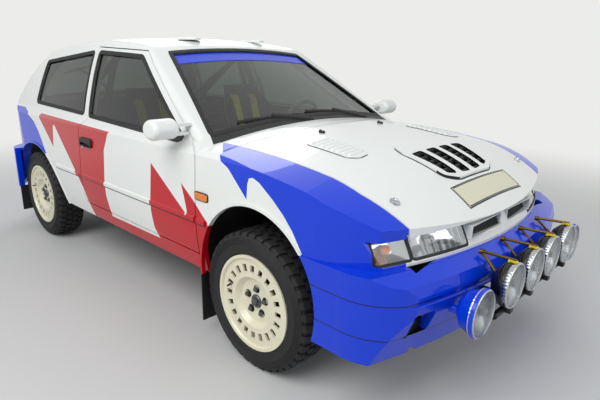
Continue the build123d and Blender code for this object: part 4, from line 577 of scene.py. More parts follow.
def build_materials():
    """Every finish on the car, named for what it is and how it was made."""
    car = bpy.context.scene.rally_livery
    white, blue, red = (tuple(c) for c in (car.white, car.blue, car.red))
    # This black serves only the lines of painted shade under the rub strip and on the bumper
    black = linear("0C0C0E")
    m = MATERIALS
    # Paint gives deep, wet-looking colour, with the vinyl's edges as sharp as cut film
    m["white"] = paint("sprayed_white_paint", white)
    # The vent's slot walls carry painted shade, not black paint
    m["vented"] = paint("sprayed_white_paint_with_painted_slot_shade", white, slot_shade_box=((1.585, 0.0), (0.105, 0.226)))
    m["side"] = paint("sprayed_paint_with_side_vinyl_and_painted_shade", white,
                      [(red, RED_REAR), (red, RED_FRONT), (blue, BLUE_REAR), (black, RUB_SHADE_LINE)], "Y")
    m["wing"] = paint("sprayed_paint_with_wing_vinyl_and_painted_shade", white,
                      [(red, RED_FRONT), (blue, BLUE_FRONT), (black, RUB_SHADE_LINE)])
    # The roof's underside is darkened with painted shade for the dark cabin, not with a headlining
    m["roof"] = paint("sprayed_white_paint_with_painted_cabin_shade", white, cabin_shade_way="Z")
    m["tail"] = paint("sprayed_paint_with_tail_vinyl", white, [(blue, BLUE_REAR)])
    m["blue"] = paint("sprayed_blue_paint", blue)
    m["bumper"] = paint("sprayed_blue_paint_with_painted_shade_lines", blue, [(black, line) for line in BUMPER_SHADE_LINES])
    # Coated metal is dull underneath, and the wheels' warm enamel catches the light softly
    m["black_paint"] = plain("satin_black_chassis_paint", "101112", 0.45, 0.0002, 500, 0.2)
    m["cage"] = plain("powder_coated_grey_tube", "4C5055", 0.38, 0.0002, 700, 0.15)
    m["cream"] = plain("baked_cream_wheel_enamel", "E4DFC4", 0.3, 0.0001, 900, 0.12, Coat_Weight=0.3)
    # Moulded plastic has a spark-eroded grain about 0.8 mm across, so that it looks dry beside the paint
    m["plastic"] = plain("grained_black_moulded_plastic", "141416", 0.5, 0.0003, 1300)
    m["gloss_plastic"] = plain("glossy_black_plastic", "0A0A0C", 0.18, 0.0, 600)
    # Rubber is matt and grey-black, so that seals and tyres read apart from glossy black
    m["rubber"] = plain("extruded_black_rubber", "0E0E0F", 0.62, 0.0003, 900, 0.2)
    m["tyre"] = plain("cured_tyre_rubber", "161617", 0.72, 0.0005, 700, 0.25)
    # Metals: mirror-bright rims and reflectors, and duller rolled, cast, pressed and bronzed parts
    m["chrome"] = plain("plated_chrome", "BCC0C4", 0.06, Metallic=1.0)
    m["mirror"] = plain("vacuum_metallised_reflector", "B4B8BC", 0.08, Metallic=1.0)
    m["steel"] = plain("rolled_steel", "6A6C70", 0.38, 0.0002, 300, 0.3, Metallic=1.0)
    m["iron"] = plain("sand_cast_iron", "3A3836", 0.6, 0.0006, 260, 0.3, Metallic=0.7)
    m["aluminium"] = plain("pressed_aluminium", "A8ABAE", 0.35, 0.0002, 300, 0.15, Metallic=1.0)
    m["bronze"] = plain("bronzed_steel_rod", "6C5426", 0.34, 0.0001, 600, 0.2, Metallic=0.9)
    # Glass is dark enough to frame the windows, and clear enough to show the seats and the reflectors
    m["screen"] = clear("laminated_screen_glass", "B4BCB8", tint=0.85, mirror=0.15)
    m["tinted"] = clear("tempered_side_glass", "5A625F", tint=0.5, mirror=0.15)
    m["lamp_glass"] = clear("pressed_lamp_glass", "F6F8F8", tint=0.9, flutes=60.0)
    m["lamp_cover"] = clear("moulded_polycarbonate_cover", "F0F2F2", tint=0.9)
    m["red_lens"] = plain("moulded_red_acrylic", "8C0A10", 0.12, 0.0, 500, Coat_Weight=0.5)
    m["amber"] = plain("moulded_amber_acrylic", "E07A10", 0.15, 0.0, 500, Coat_Weight=0.5)
    # The grille's mesh and the sheets behind the intakes' wires are near black; the sheets are painted shade for the
    # dark cavities behind, so that the wires in front of them show
    m["mesh"] = plain("dark_mesh_plastic_and_painted_cavity_shade", "050506", 0.7)
    m["wire"] = plain("black_wire_mesh", "2A2B2E", 0.4, Metallic=0.5)
    # The cabin is soft black, so that the harness's red and yellow stand out
    m["seat"] = woven("woven_black_seat_cloth", "131316", 0.004)
    m["belt"] = woven("woven_red_harness_webbing", "B01838", 0.003)
    m["belt_pad"] = woven("woven_yellow_belt_pad", "E8D424", 0.003)
    m["shell"] = plain("laid_up_black_glass_fibre", "1A1B1E", 0.35, 0.0003, 300, 0.1, Coat_Weight=0.4)
    m["yellow"] = plain("moulded_yellow_plastic", "D8C020", 0.35, 0.0001, 900)
    m["lamp_core"] = plain("dark_bulb_shield", "3A3C40", 0.3, Metallic=0.8)
    m["fluted_cover"] = clear("pressed_fluted_headlamp_glass", "F6F8F8", tint=0.92, flutes=9.0)
    m["plate"] = plain("pressed_cream_number_plate", "DAD8BE", 0.35)
    m["vinyl_blue"] = plain("printed_blue_vinyl_strip", "0039D2", 0.3, Coat_Weight=0.3)


CAD_FINISHES = {
    "roof": "roof",
    "vented": "bonnet bonnet_vents",
    "white": "nose_panel mirror_right mirror_left roof_vents",
    "side": "side_frame_right side_frame_left door_right door_left",
    "wing": "wing_right wing_left",
    "tail": "tailgate rear_panel",
    "bumper": "front_bumper",
    "blue": "rear_bumper low_lamps",
    "black_paint": "bulkhead floor_pan wheel_houses front_frame lamp_bracket",
    "cage": "roll_cage",
    "screen": "windscreen tailgate_glass",
    "tinted": "door_glass_right door_glass_left quarter_windows",
    "lamp_cover": "headlamps",
    "mesh": "grille_mesh",
    "plastic": "dashboard steering_wheel spot_lamps vent_blades door_handle_right door_handle_left",
    "red_lens": "tail_lamps",
    "steel": "front_suspension rear_suspension exhaust",
    "iron": "engine_block knuckle_right knuckle_left",
    "aluminium": "radiator sump_guard",
    "cream": "rim_front_right rim_front_left rim_rear_right rim_rear_left",
    "tyre": "tyre_front_right tyre_front_left tyre_rear_right tyre_rear_left",
    "rubber": "mud_flaps wipers",
    "bronze": "lamp_struts",
    "seat": "seats",
    "lamp_glass": "lamp_lenses",
}


class RALLY_OT_finishes(bpy.types.Operator):
    """Gives every carried-over part its finish"""
    bl_idname = "rally.finishes"
    bl_label = "Finishes"

    def execute(self, context):
        build_materials()
        for key, names in CAD_FINISHES.items():
            for name in names.split():
                nodes[name].data.materials.clear()
                nodes[name].data.materials.append(MATERIALS[key])
        return {"FINISHED"}


# What a row of the tyre's section belongs to: side wall, shoulder blocks, outer and inner middle blocks, groove
WALL, SHOULDER, OUTER_BLOCKS, INNER_BLOCKS, GROOVE = 0.0, 1.0, 2.0, 3.0, 9.0


def tyre_section(radius):
    """The tyre's section as rows of distance out, radius and what the row belongs to: the outer side wall with
    its fine ribs, the shoulder, the tread's rows of blocks and its grooves, and the same on the inner side."""
    wall = [(0.0795, 0.2095), (0.0870, 0.2200), (0.0905, 0.2240), (0.0925, 0.2300), (0.0915, 0.2335)]
    rib = [(0.0945 - 0.0022 * (k % 2) - 0.35 * max(0, 0.262 + 0.0027 * k - 0.270) ** 1.6, 0.262 + 0.0027 * k)
           for k in range(14)]
    stretches = [
        (WALL, wall + [(0.0932, 0.245)] + rib + [(0.0885, 0.3000)]),
        (SHOULDER, [(0.0880, 0.3020), (0.0850, 0.3100), (0.0800, 0.3160), (0.0740, 0.3182), (0.0440, 0.3194)]),
        (GROOVE, [(0.0435, 0.3194), (0.0365, 0.3196)]),
        (OUTER_BLOCKS, [(0.0360, 0.3196), (0.0040, 0.3200)]),
        (GROOVE, [(0.0035, 0.3200), (0.0, 0.3200)]),
    ]
    half = np.array([(out, reach, kind) for kind, points in stretches for out, reach in points])
    inner = half[::-1][1:].copy()
    inner[:, 0] *= -1
    inner[inner[:, 2] == OUTER_BLOCKS, 2] = INNER_BLOCKS
    whole = np.vstack([half, inner])
    whole[:, 1] *= radius / WHEEL_RADIUS
    return whole


def tyre_points(x, y, radius, groove, pitches):
    """A gravel tyre: the section goes round the hub, and between blocks it sinks by the groove's depth. Each
    pitch has a shoulder gap, and the middle blocks' gap half a pitch on; the gaps slant across the tread."""
    rows = tyre_section(radius)
    step = np.array([0.0, 0.10, 0.28, 0.32, 0.42, 0.50, 0.54, 0.66, 0.80, 0.84, 0.90, 0.96])
    turn = ((np.arange(pitches)[:, None] + step) / pitches).ravel()[None, :]
    part = np.tile(step, pitches)[None, :]
    kind = rows[:, 2][:, None]
    shoulder = (part < 0.30) & (kind == SHOULDER)
    middle = ((part > 0.52) & (part < 0.82)) & ((kind == OUTER_BLOCKS) | (kind == INNER_BLOCKS))
    sunk = np.where((kind == GROOVE) | shoulder | middle, 1.0, 0.0)
    # The tread is sheared by a third of a pitch towards its edges, and its inner side lies half a pitch on
    slant = (0.35 * np.abs(rows[:, 0]) / 0.09 * (rows[:, 2] > WALL) + 0.5 * (rows[:, 0] < 0))[:, None]
    angle = 2 * math.pi * (turn + slant / pitches)
    reach = rows[:, 1][:, None] - groove * sunk
    out = rows[:, 0][:, None] * (1 - 0.05 * sunk * (kind == SHOULDER)) * np.sign(y)
    return np.stack([x + reach * np.cos(angle), y + out + 0 * angle, radius + reach * np.sin(angle)], -1)


class RALLY_OT_tyres(bpy.types.Operator):
    """Makes the four gravel tyres with their blocks and ribbed side walls"""
    bl_idname = "rally.tyres"
    bl_label = "Tyres"

    def execute(self, context):
        size = context.scene.rally_tyres
        for place, (x, y) in WHEELS.items():
            points = tyre_points(x, y, size.radius, size.groove, size.pitches)
            shape = Shape().grid(points, wrap_columns=True)
            made = piece(f"gravel_tyre_{place}", shape, [MATERIALS["tyre"]], f"wheel_{place}",
                         smooth=30)
            made.data.validate()
            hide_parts(f"tyre_{place}")
        return {"FINISHED"}


class RALLY_OT_wheel_fittings(bpy.types.Operator):
    """Makes each wheel's nuts in dark wells of painted shade, its centre cap and its valve"""
    bl_idname = "rally.wheel_fittings"
    bl_label = "Wheel fittings"

    def execute(self, context):
        for place, (x, y) in WHEELS.items():
            out = math.copysign(1, y)
            shape = Shape()
            for turn in np.arange(5) * 2 * math.pi / 5 + 0.3:
                at = (x + NUT_CIRCLE * math.cos(turn), y, WHEEL_RADIUS + NUT_CIRCLE * math.sin(turn))
                # Painted shade: a dark rubber-coloured cup round each nut stands in for the shade in its recess
                shade_well = [(0.0588, 0.0), (0.0605, 0.0150), (0.0615, 0.0172), (0.0600, 0.0186)]
                shape.grid(turned(shade_well, at, (0, out, 0), 20), wrap_columns=True, slot=1)
                nut = [(0.0600, 0.0108), (0.0720, 0.0108), (0.0745, 0.0088), (0.0745, 0.0052), (0.0700, 0.0)]
                shape.grid(turned(nut, at, (0, out, 0), 6), wrap_columns=True)
            cap = [(0.0585, 0.0310), (0.0640, 0.0300), (0.0670, 0.0270), (0.0675, 0.0180), (0.0780, 0.0160),
                   (0.0800, 0.0130), (0.0800, 0.0)]
            shape.grid(turned(cap, (x, y, WHEEL_RADIUS), (0, out, 0), 36), wrap_columns=True)
            foot = (x - 0.150, y + 0.084 * out, 0.360)
            valve = [(0.0, 0.0045), (0.0240, 0.0040), (0.0260, 0.0030), (0.0260, 0.0)]
            shape.grid(turned(valve, foot, (0.25, out, 0), 12), wrap_columns=True, slot=1)
            materials = [MATERIALS["steel"], MATERIALS["rubber"]]
            piece(f"wheel_nuts_{place}", shape, materials, f"wheel_{place}")
        return {"FINISHED"}


class RALLY_OT_lamps(bpy.types.Operator):
    """Makes the six round lamps: bodies, ribbed rims, reflectors with bulb shields, glasses, clips and stays"""
    bl_idname = "rally.lamps"
    bl_label = "Round lamps"

    def execute(self, context):
        size = context.scene.rally_lamps
        rims, mirrors, glasses, clips, bodies = (Shape() for _ in range(5))
        ribs = size.ribs
        uppers = [(middle, size.spot_radius, True) for middle in SPOTS]
        lowers = [(middle, size.low_radius, False) for middle in LOWS]
        for middle, rim, deep in uppers + lowers:
            lens = rim - 0.0090
            back = -0.024 if deep else -0.022
            profile = [(-0.006, lens - 0.001), (0.0005, lens + 0.0015), (0.001, lens + 0.004), (-0.001, rim - 0.002),
                       (-0.004, rim), (back, rim - 0.004 if deep else rim), (back - 0.002, rim - 0.008)]
            # The rows of the profile that carry ribs
            outer = np.array([0, 0, 0, 0, 1, 1, 0])

            def ripple(angle, row, outer=outer):
                """Ribs across the band: the radius dips by one part in sixty between them."""
                return 1 - outer[row] * 0.017 * (0.5 + 0.5 * np.cos(ribs * angle)) ** 0.5

            rims.grid(turned(profile, middle, (1, 0, 0), ribs * 6, ripple), wrap_columns=True)
            bowl = np.linspace(0.012, lens - 0.001, 14)
            depth = -0.058 + 0.052 * (bowl / bowl[-1]) ** 2
            mirrors.grid(turned(np.stack([depth, bowl], 1), middle, (1, 0, 0), 64), wrap_columns=True)
            cap = [(-0.058, 0.012), (-0.030, 0.012), (-0.022, 0.010), (-0.020, 0.0)]
            mirrors.grid(turned(cap, middle, (1, 0, 0), 24), wrap_columns=True, slot=1)
            radii = np.linspace(0.0, lens, 12)
            front = 0.0045 - 0.0060 * (radii / lens) ** 2
            shell = np.vstack([np.stack([front, radii], 1), np.stack([front - 0.003, radii], 1)[::-1]])
            glasses.grid(turned(shell, middle, (1, 0, 0), 64), wrap_columns=True)
            x, y, z = middle
            if deep:
                body = [(-0.022, rim - 0.008), (-0.024, rim - 0.0015), (-0.036, rim - 0.002),
                        (-0.046, rim - 0.006), (-0.060, rim - 0.020), (-0.074, rim - 0.034),
                        (-0.081, rim - 0.052), (-0.082, 0.012), (-0.082, 0.0)]
                bodies.grid(turned(body, middle, (1, 0, 0), 48), wrap_columns=True)
                clips.grid(pad((0.030, 0.016, 0.010), (x - 0.020, y, z + rim + 0.002)), wrap_columns=True)
                clips.grid(pad((0.010, 0.020, 0.018), (x - 0.036, y, z + rim - 0.002)), wrap_columns=True)
        m = MATERIALS
        rim_piece = piece("lamp_rims", rims, [m["chrome"]], "body", smooth=50)
        bowl_piece = piece("lamp_reflectors", mirrors, [m["mirror"], m["lamp_core"]], "body")
        body_piece = piece("spot_lamp_bodies", bodies, [m["gloss_plastic"]], "body")
        glass_piece = piece("lamp_glasses", glasses, [m["lamp_glass"]], "body")
        piece("lamp_clips", clips, [m["yellow"]], "body")
        for made in (rim_piece, bowl_piece, body_piece):
            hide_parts("spot_lamps")
        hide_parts("lamp_lenses")
        stays = Shape()
        for x, y, z in SPOTS:
            stays.grid(bar((1.884, y * 0.95, 0.634), (1.962, y, 0.562), 0.0055), wrap_columns=True, caps=True)
            joint = bar((1.876, y * 0.96, 0.6345), (1.892, y * 0.96, 0.6345), 0.011)
            stays.grid(joint, wrap_columns=True, caps=True)
        piece("lamp_lower_stays", stays, [m["bronze"]], "body")
        return {"FINISHED"}


def lamp_bowl(low, high, depth):
    """A pressed reflector behind a window in the nose: sinks by one less the fourth power of the place across,
    times the same of the place up, and follows the nose's curve."""
    across, up = np.meshgrid(np.linspace(-1, 1, 41), np.linspace(-1, 1, 15), indexing="ij")
    y = (low[0] + high[0]) / 2 + across * (high[0] - low[0]) / 2
    z = (low[1] + high[1]) / 2 + up * (high[1] - low[1]) / 2
    return nose_skin(y, z, -0.006 - depth * (1 - across**4) * (1 - up**4))


class RALLY_OT_headlamps(bpy.types.Operator):
    """Makes the headlamps: reflectors, amber indicator bulbs, fluted covers and dark surrounds"""
    bl_idname = "rally.headlamps"
    bl_label = "Headlamps"

    def execute(self, context):
        m = MATERIALS
        covers, bowls, bulbs, trims = Shape(), Shape(), Shape(), Shape()
        for side in (-1, 1):
            main, corner = sorted((side * 0.311, side * 0.604)), sorted((side * 0.612, side * 0.755))
            for (y0, y1), slot in ((main, 0), (corner, 1)):
                bowls.grid(lamp_bowl((y0, 0.653), (y1, 0.736), 0.046 if slot == 0 else 0.036))
                y, z = np.meshgrid(np.linspace(y0, y1, 40), np.linspace(0.6525, 0.7365, 12), indexing="ij")
                covers.grid(nose_skin(y, z, -0.0012), slot=slot)
            heart = nose_skin(np.array(side * 0.470), np.array(0.695), -0.046)
            shield = [(0.0, 0.016), (0.020, 0.016), (0.026, 0.013), (0.028, 0.0)]
            bulbs.grid(turned(shield, heart, (1, 0, 0), 24), wrap_columns=True)
            glow = nose_skin(np.array(side * 0.684), np.array(0.694), -0.024)
            bulbs.grid(pad((0.034, 0.042, 0.034), glow, 2.4), wrap_columns=True, slot=1)
            for y0, y1 in (main, corner):
                frame_line = rounded([(y0, 0.652), (y1, 0.652), (y1, 0.737), (y0, 0.737)], 0.006, 0.010)
                trims.grid(ribbon(frame_line, 0.007, 0.0015, nose_skin), wrap_rows=True, wrap_columns=True)
        cover = piece("headlamp_covers", covers, [m["fluted_cover"], m["lamp_cover"]], "body",
                      solid=0.003)
        bowl = piece("headlamp_reflectors", bowls, [m["mirror"]], "body", outward=False)
        bulb = piece("headlamp_bulbs", bulbs, [m["chrome"], m["amber"]], "body")
        trim = piece("headlamp_surrounds", trims, [m["rubber"]], "body")
        for made in (cover, bowl, bulb, trim):
            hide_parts("headlamps")
        return {"FINISHED"}


def in_nose(y, z):
    """How far along the car the grille's wires lie: 10 mm behind the nose's skin."""
    return nose_skin(y, z, -0.010)[..., 0]


def in_bumper(y, z):
    """How far along the car the lower intakes' wires lie: in one upright plane."""
    return np.full_like(y, 1.812)


class RALLY_OT_nose(bpy.types.Operator):
    """Makes the grille and intake meshes, the near-black sheets of painted shade behind them, their frames and the
    blank plate
    """
    bl_idname = "rally.nose"
    bl_label = "Nose"

    def execute(self, context):
        m = MATERIALS
        windows = [(in_nose, (s * GRILLE_Y - 0.1305, 0.6765), (s * GRILLE_Y + 0.1305, 0.7235)) for s in (-1, 1)]
        windows.append((in_bumper, (-0.436, 0.392), (0.436, 0.524)))
        windows += [(in_bumper, (s * 0.650 - 0.056, 0.396), (s * 0.650 + 0.056, 0.500)) for s in (-1, 1)]
        backs = Shape()
        for number, (place, low, high) in enumerate(windows):
            piece(f"intake_mesh_{number}", lattice(place, low, high, 0.0140, 0.0034), [m["wire"]], "body",
                  outward=False)
            y, z = np.meshgrid(np.linspace(low[0], high[0], 24), np.linspace(low[1], high[1], 6), indexing="ij")
            # The other windows get a near-black sheet 10 mm behind their wires: painted shade for the dark cavity
            # behind them
            if number != LOWER_INTAKE:
                backs.grid(np.stack([place(y, z) - 0.010, y, z], -1))
        piece("intake_painted_shade_sheets", backs, [m["mesh"]], "body", solid=0.002)
        frames = Shape()
        for side in (-1, 1):
            y0, y1 = side * GRILLE_Y - 0.134, side * GRILLE_Y + 0.134
            line = rounded([(y0, 0.672), (y1, 0.672), (y1, 0.728), (y0, 0.728)], 0.008, 0.010)
            frames.grid(ribbon(line, 0.008, 0.002, nose_skin), wrap_rows=True, wrap_columns=True)
        piece("grille_frames", frames, [m["white"]], "body")
        plate = Shape()
        plate.grid(tile((1.706, 1.803), (-0.257, 0.267), bonnet_skin, 0.0006))
        plate.grid(tile((1.711, 1.798), (-0.252, 0.262), bonnet_skin, 0.0016), slot=1)
        line = rounded([(1.7135, -0.2495), (1.7955, -0.2495), (1.7955, 0.2595), (1.7135, 0.2595)], 0.010, 0.008)
        plate.grid(ribbon(line, 0.0035, 0.0024, bonnet_skin), wrap_rows=True, wrap_columns=True)
        piece("blank_front_plate", plate, [m["gloss_plastic"], m["plate"]], "bonnet",
              solid=0.001)
        return {"FINISHED"}


class RALLY_OT_bonnet_fittings(bpy.types.Operator):
    """Makes the vent's and louvres' seals, the washer nozzles and the bonnet pins"""
    bl_idname = "rally.bonnet_fittings"
    bl_label = "Bonnet fittings"

    def execute(self, context):
        m = MATERIALS
        seals = Shape()
        seals.grid(ribbon(rounded(CENTRE_VENT, 0.030), 0.009, 0.0022, bonnet_skin), wrap_rows=True,
                   wrap_columns=True)
        for side in (-1, 1):
            line = rounded([(x, side * y) for x, y in LOUVRE], 0.020)
            seals.grid(ribbon(line, 0.006, 0.0018, bonnet_skin), wrap_rows=True, wrap_columns=True)
        piece("bonnet_vent_seals", seals, [m["rubber"]], "bonnet")
        nozzles, pins = Shape(), Shape()
        for x, y in ((1.021, -0.274), (1.012, 0.228)):
            at = bonnet_skin(np.array(x), np.array(y), 0.004)
            nozzles.grid(pad((0.034, 0.024, 0.014), at, 3), wrap_columns=True)
            nozzles.grid(pad((0.012, 0.012, 0.010), at - np.array([0.010, 0, -0.006]), 2.5), wrap_columns=True)
        for y in (-0.580, 0.580):
            at = bonnet_skin(np.array(1.655), np.array(y), 0.0)
            slope = bonnet_skin(np.array([1.650, 1.660]), np.array([y, y]))
            slope = (slope[1] - slope[0]) / 0.010
            # Square to the skin: by its slope along the car, and by its crown's radius of 4.04 m across
            up = np.array([-slope[2], y / 4.04, 1.0])
            disc = [(-0.001, 0.021), (0.0015, 0.021), (0.0025, 0.019), (0.0025, 0.009), (0.0050, 0.0075),
                    (0.0150, 0.0060), (0.0165, 0.0045), (0.0165, 0.0)]
            pins.grid(turned(disc, at, up, 32), wrap_columns=True)
            side, front = frame_of(up)
            turn = np.linspace(0.3, 2 * math.pi - 0.3, 30)[:, None]
            round_pin = 0.014 * (np.cos(turn) * side + np.sin(turn) * front)
            ring = at + 0.011 * up / np.linalg.norm(up) + round_pin + 0.010 * side
            pins.grid(swept(ring, circle(0.0016, 8)), wrap_columns=True, caps=True)
        piece("washer_nozzles", nozzles, [m["plastic"]], "bonnet")
        piece("bonnet_pins", pins, [m["chrome"]], "bonnet")
        return {"FINISHED"}


def screen_edge(x):
    """Half the windscreen's width at a place along the car: its edge slants in by 0.464 of the height above the
    scuttle, and the height itself depends a little on the width, so the sum is taken three times."""
    y = np.full_like(x, 0.62)
    for _ in range(3):
        y = 0.694 - (screen_skin(x, y)[..., 2] - 0.981) * 0.464
    return y


class RALLY_OT_screen_trim(bpy.types.Operator):
    """Makes the windscreen's rubber and sun strip, and the side and rear windows' rubbers"""
    bl_idname = "rally.screen_trim"
    bl_label = "Screen trim"

    def execute(self, context):
        m = MATERIALS
        x = np.linspace(0.684, 0.086, 44)
        edge = screen_edge(x) - 0.008
        foot, top = np.linspace(-edge[0], edge[0], 40)[1:-1], np.linspace(edge[-1], -edge[-1], 34)[1:-1]
        path = np.vstack([np.stack([np.full_like(foot, x[0]), foot], 1), np.stack([x, edge], 1),
                          np.stack([np.full_like(top, x[-1]), top], 1), np.stack([x, -edge], 1)[::-1]])
        shape = Shape().grid(ribbon(path, 0.026, 0.002, screen_skin), wrap_rows=True, wrap_columns=True)
        piece("windscreen_rubber", shape, [m["rubber"]], "body")
        along, across = np.meshgrid(np.linspace(0.092, 0.176, 10), np.linspace(-1, 1, 49), indexing="ij")
        strip = screen_skin(along, across * (screen_edge(along) - 0.018), -0.0095)
        piece("blank_sun_strip", Shape().grid(strip), [m["vinyl_blue"]], "body", solid=0.0006)
        for side, hand in ((-1, "right"), (1, "left")):
            def on_side(a, b, lift, side=side):
                return side_skin(a, b, side, lift)

            door = Shape().grid(ribbon(rounded(DOOR_WINDOW, 0.022), 0.024, 0.0025, on_side), wrap_rows=True,
                                wrap_columns=True)
            along, share = np.meshgrid(np.linspace(0, 1, 16), np.linspace(0, 1, 16), indexing="ij")
            sail_x = 0.545 - 0.135 * along
            sail_top = 0.962 + 0.098 * along
            sail = on_side(sail_x, 0.962 + (sail_top - 0.962) * share, np.array(-0.0055))
            door.grid(sail)
            piece(f"door_window_rubber_{hand}", door, [m["rubber"]], f"door_{hand}")
            rear = Shape().grid(ribbon(rounded(QUARTER_WINDOW, 0.022), 0.024, 0.0025, on_side), wrap_rows=True,
                                wrap_columns=True)
            piece(f"quarter_window_rubber_{hand}", rear, [m["rubber"]], "body")
        half = [(-1.395, 0.470), (-1.822, 0.560)]
        line = rounded(half + [(a, -b) for a, b in reversed(half)], 0.034)
        shape = Shape().grid(ribbon(line, 0.026, 0.002, tail_skin), wrap_rows=True, wrap_columns=True)
        piece("rear_glass_rubber", shape, [m["rubber"]], "tailgate")
        return {"FINISHED"}


class RALLY_OT_side_fittings(bpy.types.Operator):
    """Makes the amber repeaters, the mirrors' glasses and the doors' locks"""
    bl_idname = "rally.side_fittings"
    bl_label = "Side fittings"

    def execute(self, context):
        m = MATERIALS
        amber = Shape()
        for side, hand in ((-1, "right"), (1, "left")):
            amber.grid(pad((0.098, 0.014, 0.034), (0.792, side * 0.832, 0.732), 5), wrap_columns=True)
            amber.grid(pad((0.106, 0.010, 0.042), (0.792, side * 0.831, 0.732), 5), wrap_columns=True, slot=1)
            low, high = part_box(f"mirror_{hand}")
            # The glass follows the head's rear: an ellipse 62 mm deep and 48 mm high by half
            turn, across = np.meshgrid(np.linspace(-0.75, 0.75, 15), np.linspace(-0.043, 0.043, 9),
                                       indexing="ij")
            middle_x, middle_z = (low[0] + high[0]) / 2, (low[2] + high[2]) / 2
            glass = np.stack([middle_x - 0.063 * np.cos(turn), side * 0.893 + across,
                              middle_z + 0.049 * np.sin(turn)], -1)
            piece(f"mirror_glass_{hand}", Shape().grid(glass), [m["mirror"]], f"door_{hand}",
                  solid=0.0015)
            lock = turned([(0.0, 0.011), (0.003, 0.011), (0.004, 0.009), (0.003, 0.004), (0.003, 0.0)],
                          (-0.455, side * 0.8265, 0.800), (0, side, 0), 20)
            piece(f"door_lock_{hand}", Shape().grid(lock, wrap_columns=True), [m["chrome"]], f"door_{hand}")
        piece("side_repeaters", amber, [m["amber"], m["rubber"]], "body")
        return {"FINISHED"}


def seat_line(along):
    """The seat's middle line in the side view: cushion, a turn at the hip, then the leaning back."""
    at = np.array([0.0, 0.30, 0.42, 0.50, 0.62, 1.0])
    x = np.array([0.195, -0.150, -0.225, -0.262, -0.318, -0.462])
    z = np.array([0.520, 0.474, 0.490, 0.545, 0.700, 1.135])
    return np.stack([np.interp(along, at, x), np.interp(along, at, z)], -1)


def seat_shell(middle, rows=46, columns=41):
    """A bucket: across the seat the shell stays flat, then rises as the sixth power of the place across; the wings
    are high at the hips and shoulders and low between."""
    u, v = np.linspace(0, 1, rows), np.linspace(-1, 1, columns)
    line = seat_line(u)
    for _ in range(3):
        line[1:-1] = (line[:-2] + 2 * line[1:-1] + line[2:]) / 4
    way = np.gradient(line, axis=0)
    way /= np.linalg.norm(way, axis=1)[:, None]
    inward = np.stack([way[:, 1], -way[:, 0]], 1)
    height = np.interp(u, (0, 0.2, 0.45, 0.6, 0.75, 0.9, 1), (0.070, 0.100, 0.120, 0.085, 0.125, 0.090, 0.030))
    half = np.interp(u, (0, 0.4, 0.6, 0.85, 1), (0.205, 0.212, 0.205, 0.212, 0.130))
    rise = height[:, None] * np.abs(v)[None, :] ** 6
    x = line[:, :1] + inward[:, :1] * rise
    z = line[:, 1:] + inward[:, 1:] * rise
    y = middle + half[:, None] * (np.sign(v) * np.abs(v) ** 0.8)[None, :]
    return np.stack([x, y, z], -1)


def stuffed(name, size, centre, lean):
    """A cushion sewn from panels: starts as a rounded box, turned back by its lean in degrees, swells by up to
    10 mm under cloth pressure, and is crossed by sewn channels pressed in afterwards."""
    lean = math.radians(lean)
    points = pad(size, (0, 0, 0), 5.0, 33, 64)
    turned_back = np.array([(math.cos(lean), 0, -math.sin(lean)), (0, 1, 0),
                            (math.sin(lean), 0, math.cos(lean))])
    shape = Shape().grid(points @ turned_back.T + np.array(centre), wrap_columns=True)
    made = piece(name, shape, [MATERIALS["seat"]], "body", smooth=180)
    bpy.context.view_layer.objects.active = made
    remesh = made.modifiers.new("even", "REMESH")
    remesh.mode, remesh.voxel_size = "VOXEL", 0.0065
    bpy.ops.object.modifier_apply(modifier="even")
    start = np.empty(len(made.data.vertices) * 3)
    made.data.vertices.foreach_get("co", start)
    cloth = made.modifiers.new("cloth", "CLOTH")
    cloth.settings.use_pressure, cloth.settings.uniform_pressure_force = True, 4.0
    cloth.settings.effector_weights.gravity = 0
    cloth.settings.quality = 4
    scene = bpy.context.scene
    for number in range(1, 16):
        scene.frame_set(number)
    bpy.ops.object.modifier_apply(modifier="cloth")
    scene.frame_set(1)
    end = np.empty_like(start)
    made.data.vertices.foreach_get("co", end)
    moved = (end - start).reshape(-1, 3)
    reach = np.linalg.norm(moved, axis=1)[:, None]
    moved *= np.minimum(1, 0.010 / np.maximum(reach, 1e-6))
    made.data.vertices.foreach_set("co", (start.reshape(-1, 3) + moved).ravel())
    count = len(made.data.vertices)
    at = np.empty(count * 3)
    made.data.vertices.foreach_get("co", at)
    at = at.reshape(-1, 3)
    local = (at - np.array(centre)) @ turned_back
    # Two channels run along the cushion, 27% of its width from the middle, and a shallower one across it
    along = np.exp(-((np.abs(local[:, 1]) - size[1] * 0.27) / 0.005) ** 2)
    across = np.exp(-(local[:, 0] / 0.006) ** 2) * 0.6
    sink = 0.0055 * np.clip(along + across, 0, 1) * np.sign(local[:, 2])
    at = at - sink[:, None] * turned_back[:, 2][None, :]
    made.data.vertices.foreach_set("co", at.ravel())
    made.data.update()
    made.data.shade_smooth()
    return made


def flat(half_width, half_height):
    """A webbing's section: a flat rectangle."""
    return [(-half_width, -half_height), (half_width, -half_height), (half_width, half_height),
            (-half_width, half_height)]


